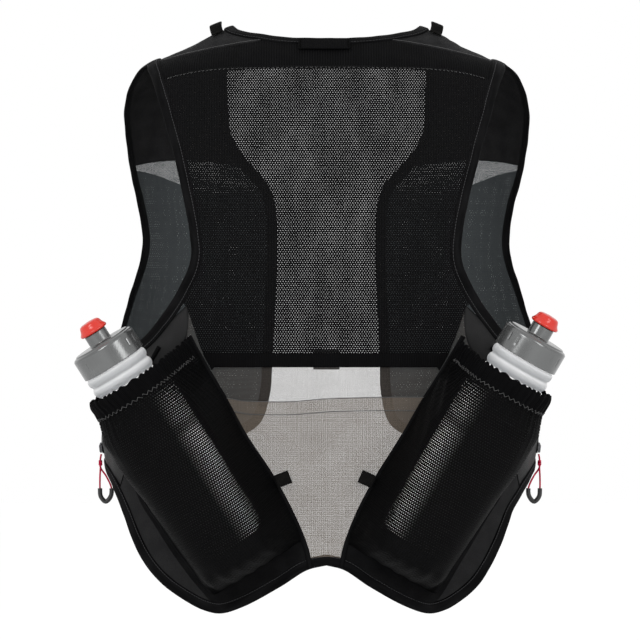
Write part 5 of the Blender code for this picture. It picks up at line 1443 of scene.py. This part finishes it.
def make_tab_loop(side):
    """The webbing loop at a holster's inner edge."""
    turn, z = row(*TAB_PLACE, side)
    low = OVERLAY_TOP + JOINT_GAP
    half = (2 * TAB_WALL + TAB_OPENING) / 2
    bends, inner = ([(TAB_LENGTH - half + size * math.sin(a), low + half - turned * size * math.cos(a))
                     for a in np.linspace(0, math.pi, 17)]
                    for size, turned in ((half, 1), (half - TAB_WALL, -1)))
    profile = [(0, low), *bends, (0, low + 2 * half), (0, low + 2 * half - TAB_WALL), *inner,
               (0, low + TAB_WALL)]
    place = frame_matrix(*local_frame(turn, z, (-side * 0.01, TAB_SLOPE)))
    count = len(profile)
    run = np.concatenate([[0], np.cumsum(np.hypot(*np.diff(np.array(profile), axis=0).T))])
    widths = np.linspace(-TAB_WIDTH / 2, TAB_WIDTH / 2, 7)
    points = np.array([place @ Vector((x, y, h)) for y in widths for x, h in profile])
    places = np.array([(y, r) for y in widths for r in run])
    faces = grid_faces(len(widths), count, ring=True)
    faces += [tuple(reversed(range(count))), tuple(6 * count + j for j in range(count))]
    name = side_name(side) + "_tab_loop"
    made = add_mesh(name + "_webbing", points, faces, places, "webbing_cloth", name)
    made.data.set_sharp_from_angle(angle=math.radians(40))


def make_zip(side):
    """One zip's coil, with the pull cord, knot and grip on its slider."""
    name = side_name(side)
    line = outline(ZIP_LINE, side)
    low = PANEL_TOP + JOINT_GAP
    tape(name + "_zip_coil", shift(line, side * ZIP_WIDTH / 2), -side * ZIP_WIDTH, 90, "coil_zip",
         name + "_zip", low=low, high=low + ZIP_THICKNESS + 0.0004)
    point, ahead, _, normal = local_frame(*line[16], line[80] - line[16])
    high = low + ZIP_THICKNESS + JOINT_GAP + SLIDER_THICKNESS
    eye = point + normal * (high - CORD_DIAMETER)
    eye[2] = (point - 0.1 * SLIDER_LENGTH * ahead)[2] - 0.0018
    route = [(eye[0] + side * out, eye[1] + along, eye[2] - down) for out, along, down in PULL_ROUTE]
    path = spline(route, count=72)
    cord = thread(name + "_cord_strands", path, CORD_DIAMETER / 2, "cord_red", 4, name + "_pull_cord",
                  "pull_cord")
    held = path[path[:, 2] < eye[2] - GRIP_START]
    grip = thread(name + "_grip_sleeve", held, GRIP_DIAMETER / 2, "grip_black", 6, name + "_grip",
                  "grip_rubber")
    centre = eye + np.array([side * PULL_ROUTE[1][0], 0.0, -KNOT_DROP])
    turns = np.linspace(0, 2 * math.pi, 60)
    wraps = [-1.3 * np.sin(3 * turns), np.sin(turns) + 2 * np.sin(2 * turns),
             np.cos(turns) - 2 * np.cos(2 * turns)]
    knot_path = centre + KNOT_SIZE * np.stack(wraps, axis=1)
    knot = thread(name + "_knot_wrap", knot_path, 0.0008, "cord_red", 3, name + "_knot", "pull_cord")


def make_sternum():
    """The webbing of the sternum strap, up to the clasp."""
    height = -STRAP_HEIGHT_SHARE * VEST_HEIGHT
    low = TAPE_THICKNESS + JOINT_GAP
    half_gap = (CLASP_LENGTH / 2 - 0.002) / CHEST_HALF_WIDTH
    for side in SIDES:
        turns = np.linspace(math.radians(STRAP_START_TURN), math.pi - half_gap, 60)
        line = np.stack([side * turns, np.full(60, height + STRAP_WIDTH / 2)], axis=1)
        solid(side_name(side) + "_sternum_webbing", band_grid(line, -side * STRAP_WIDTH, 12), low,
              low + STRAP_THICKNESS, "webbing_cloth", side_name(side) + "_sternum_strap")


def make_stage():
    """A wide pale floor, a white surround, soft lights and the camera."""
    turns = np.linspace(0, 2 * math.pi, 64, endpoint=False)
    points = [(FLOOR_RADIUS * math.cos(a), FLOOR_RADIUS * math.sin(a), FLOOR_Z) for a in turns]
    mesh = bpy.data.meshes.new("floor")
    mesh.from_pydata(points, [], [tuple(range(64))])
    mesh.shade_smooth()
    mesh.materials.append(look("pale_floor"))
    placed("floor", mesh)
    scene = bpy.context.scene
    scene.world = bpy.data.worlds.new("studio")
    scene.world.use_nodes = True
    surround = scene.world.node_tree.nodes["Background"]
    surround.inputs[0].default_value = (1.0, 1.0, 1.0, 1.0)
    surround.inputs[1].default_value = WORLD_STRENGTH
    for side in SIDES:
        for place in GLOW_PLACES:
            lamp = bpy.data.lights.new(side_name(side) + "_glow", "POINT")
            lamp.energy = BOTTLE_GLOW
            lamp.shadow_soft_size = 0.008
            lamp.color = (1.0, 0.96, 0.93)
            placed(lamp.name, lamp).location = seat_matrix(side) @ Vector((0.0, 0.0, place))
    for name, place, target, size, power_w in LAMPS:
        lamp = bpy.data.lights.new(name, "AREA")
        lamp.shape = "RECTANGLE"
        lamp.size, lamp.size_y = size
        lamp.energy = power_w
        made = placed(name, lamp)
        made.location = place
        made.rotation_euler = (Vector(target) - Vector(place)).to_track_quat("-Z", "Y").to_euler()
        made.visible_camera = False
    camera = bpy.data.cameras.new("camera")
    camera.sensor_width = 36.0
    camera.lens = 36.0 * CAMERA_DISTANCE / VIEW_WIDTH
    camera.clip_end = 50.0
    scene.camera = placed("camera", camera)
    scene.camera.location = (VIEW_CENTRE[0], VIEW_PLANE - CAMERA_DISTANCE, VIEW_CENTRE[1])
    scene.camera.rotation_euler = (math.pi / 2, 0.0, 0.0)
    scene.view_settings.view_transform = "Standard"
    scene.cycles.transparent_max_bounces = 24


def dress_cad(nodes):
    """CAD nodes that stay get a finished material."""
    kept = {"sternum_clasp": "clasp_black", "left_slider": "slider_steel", "right_slider": "slider_steel"}
    for name, finish in kept.items():
        nodes[name].data.materials.clear()
        nodes[name].data.materials.append(look(finish))


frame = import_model()
make_stage()
for hand in SIDES:
    make_zip(hand)
make_back()
make_edges()
make_lumbar()
make_sternum()
for hand in SIDES:
    make_side(hand)
    make_bottle(hand)
    make_holster(hand)
    make_tab_loop(hand)
dress_cad(frame["nodes"])
bpy.context.view_layer.update()
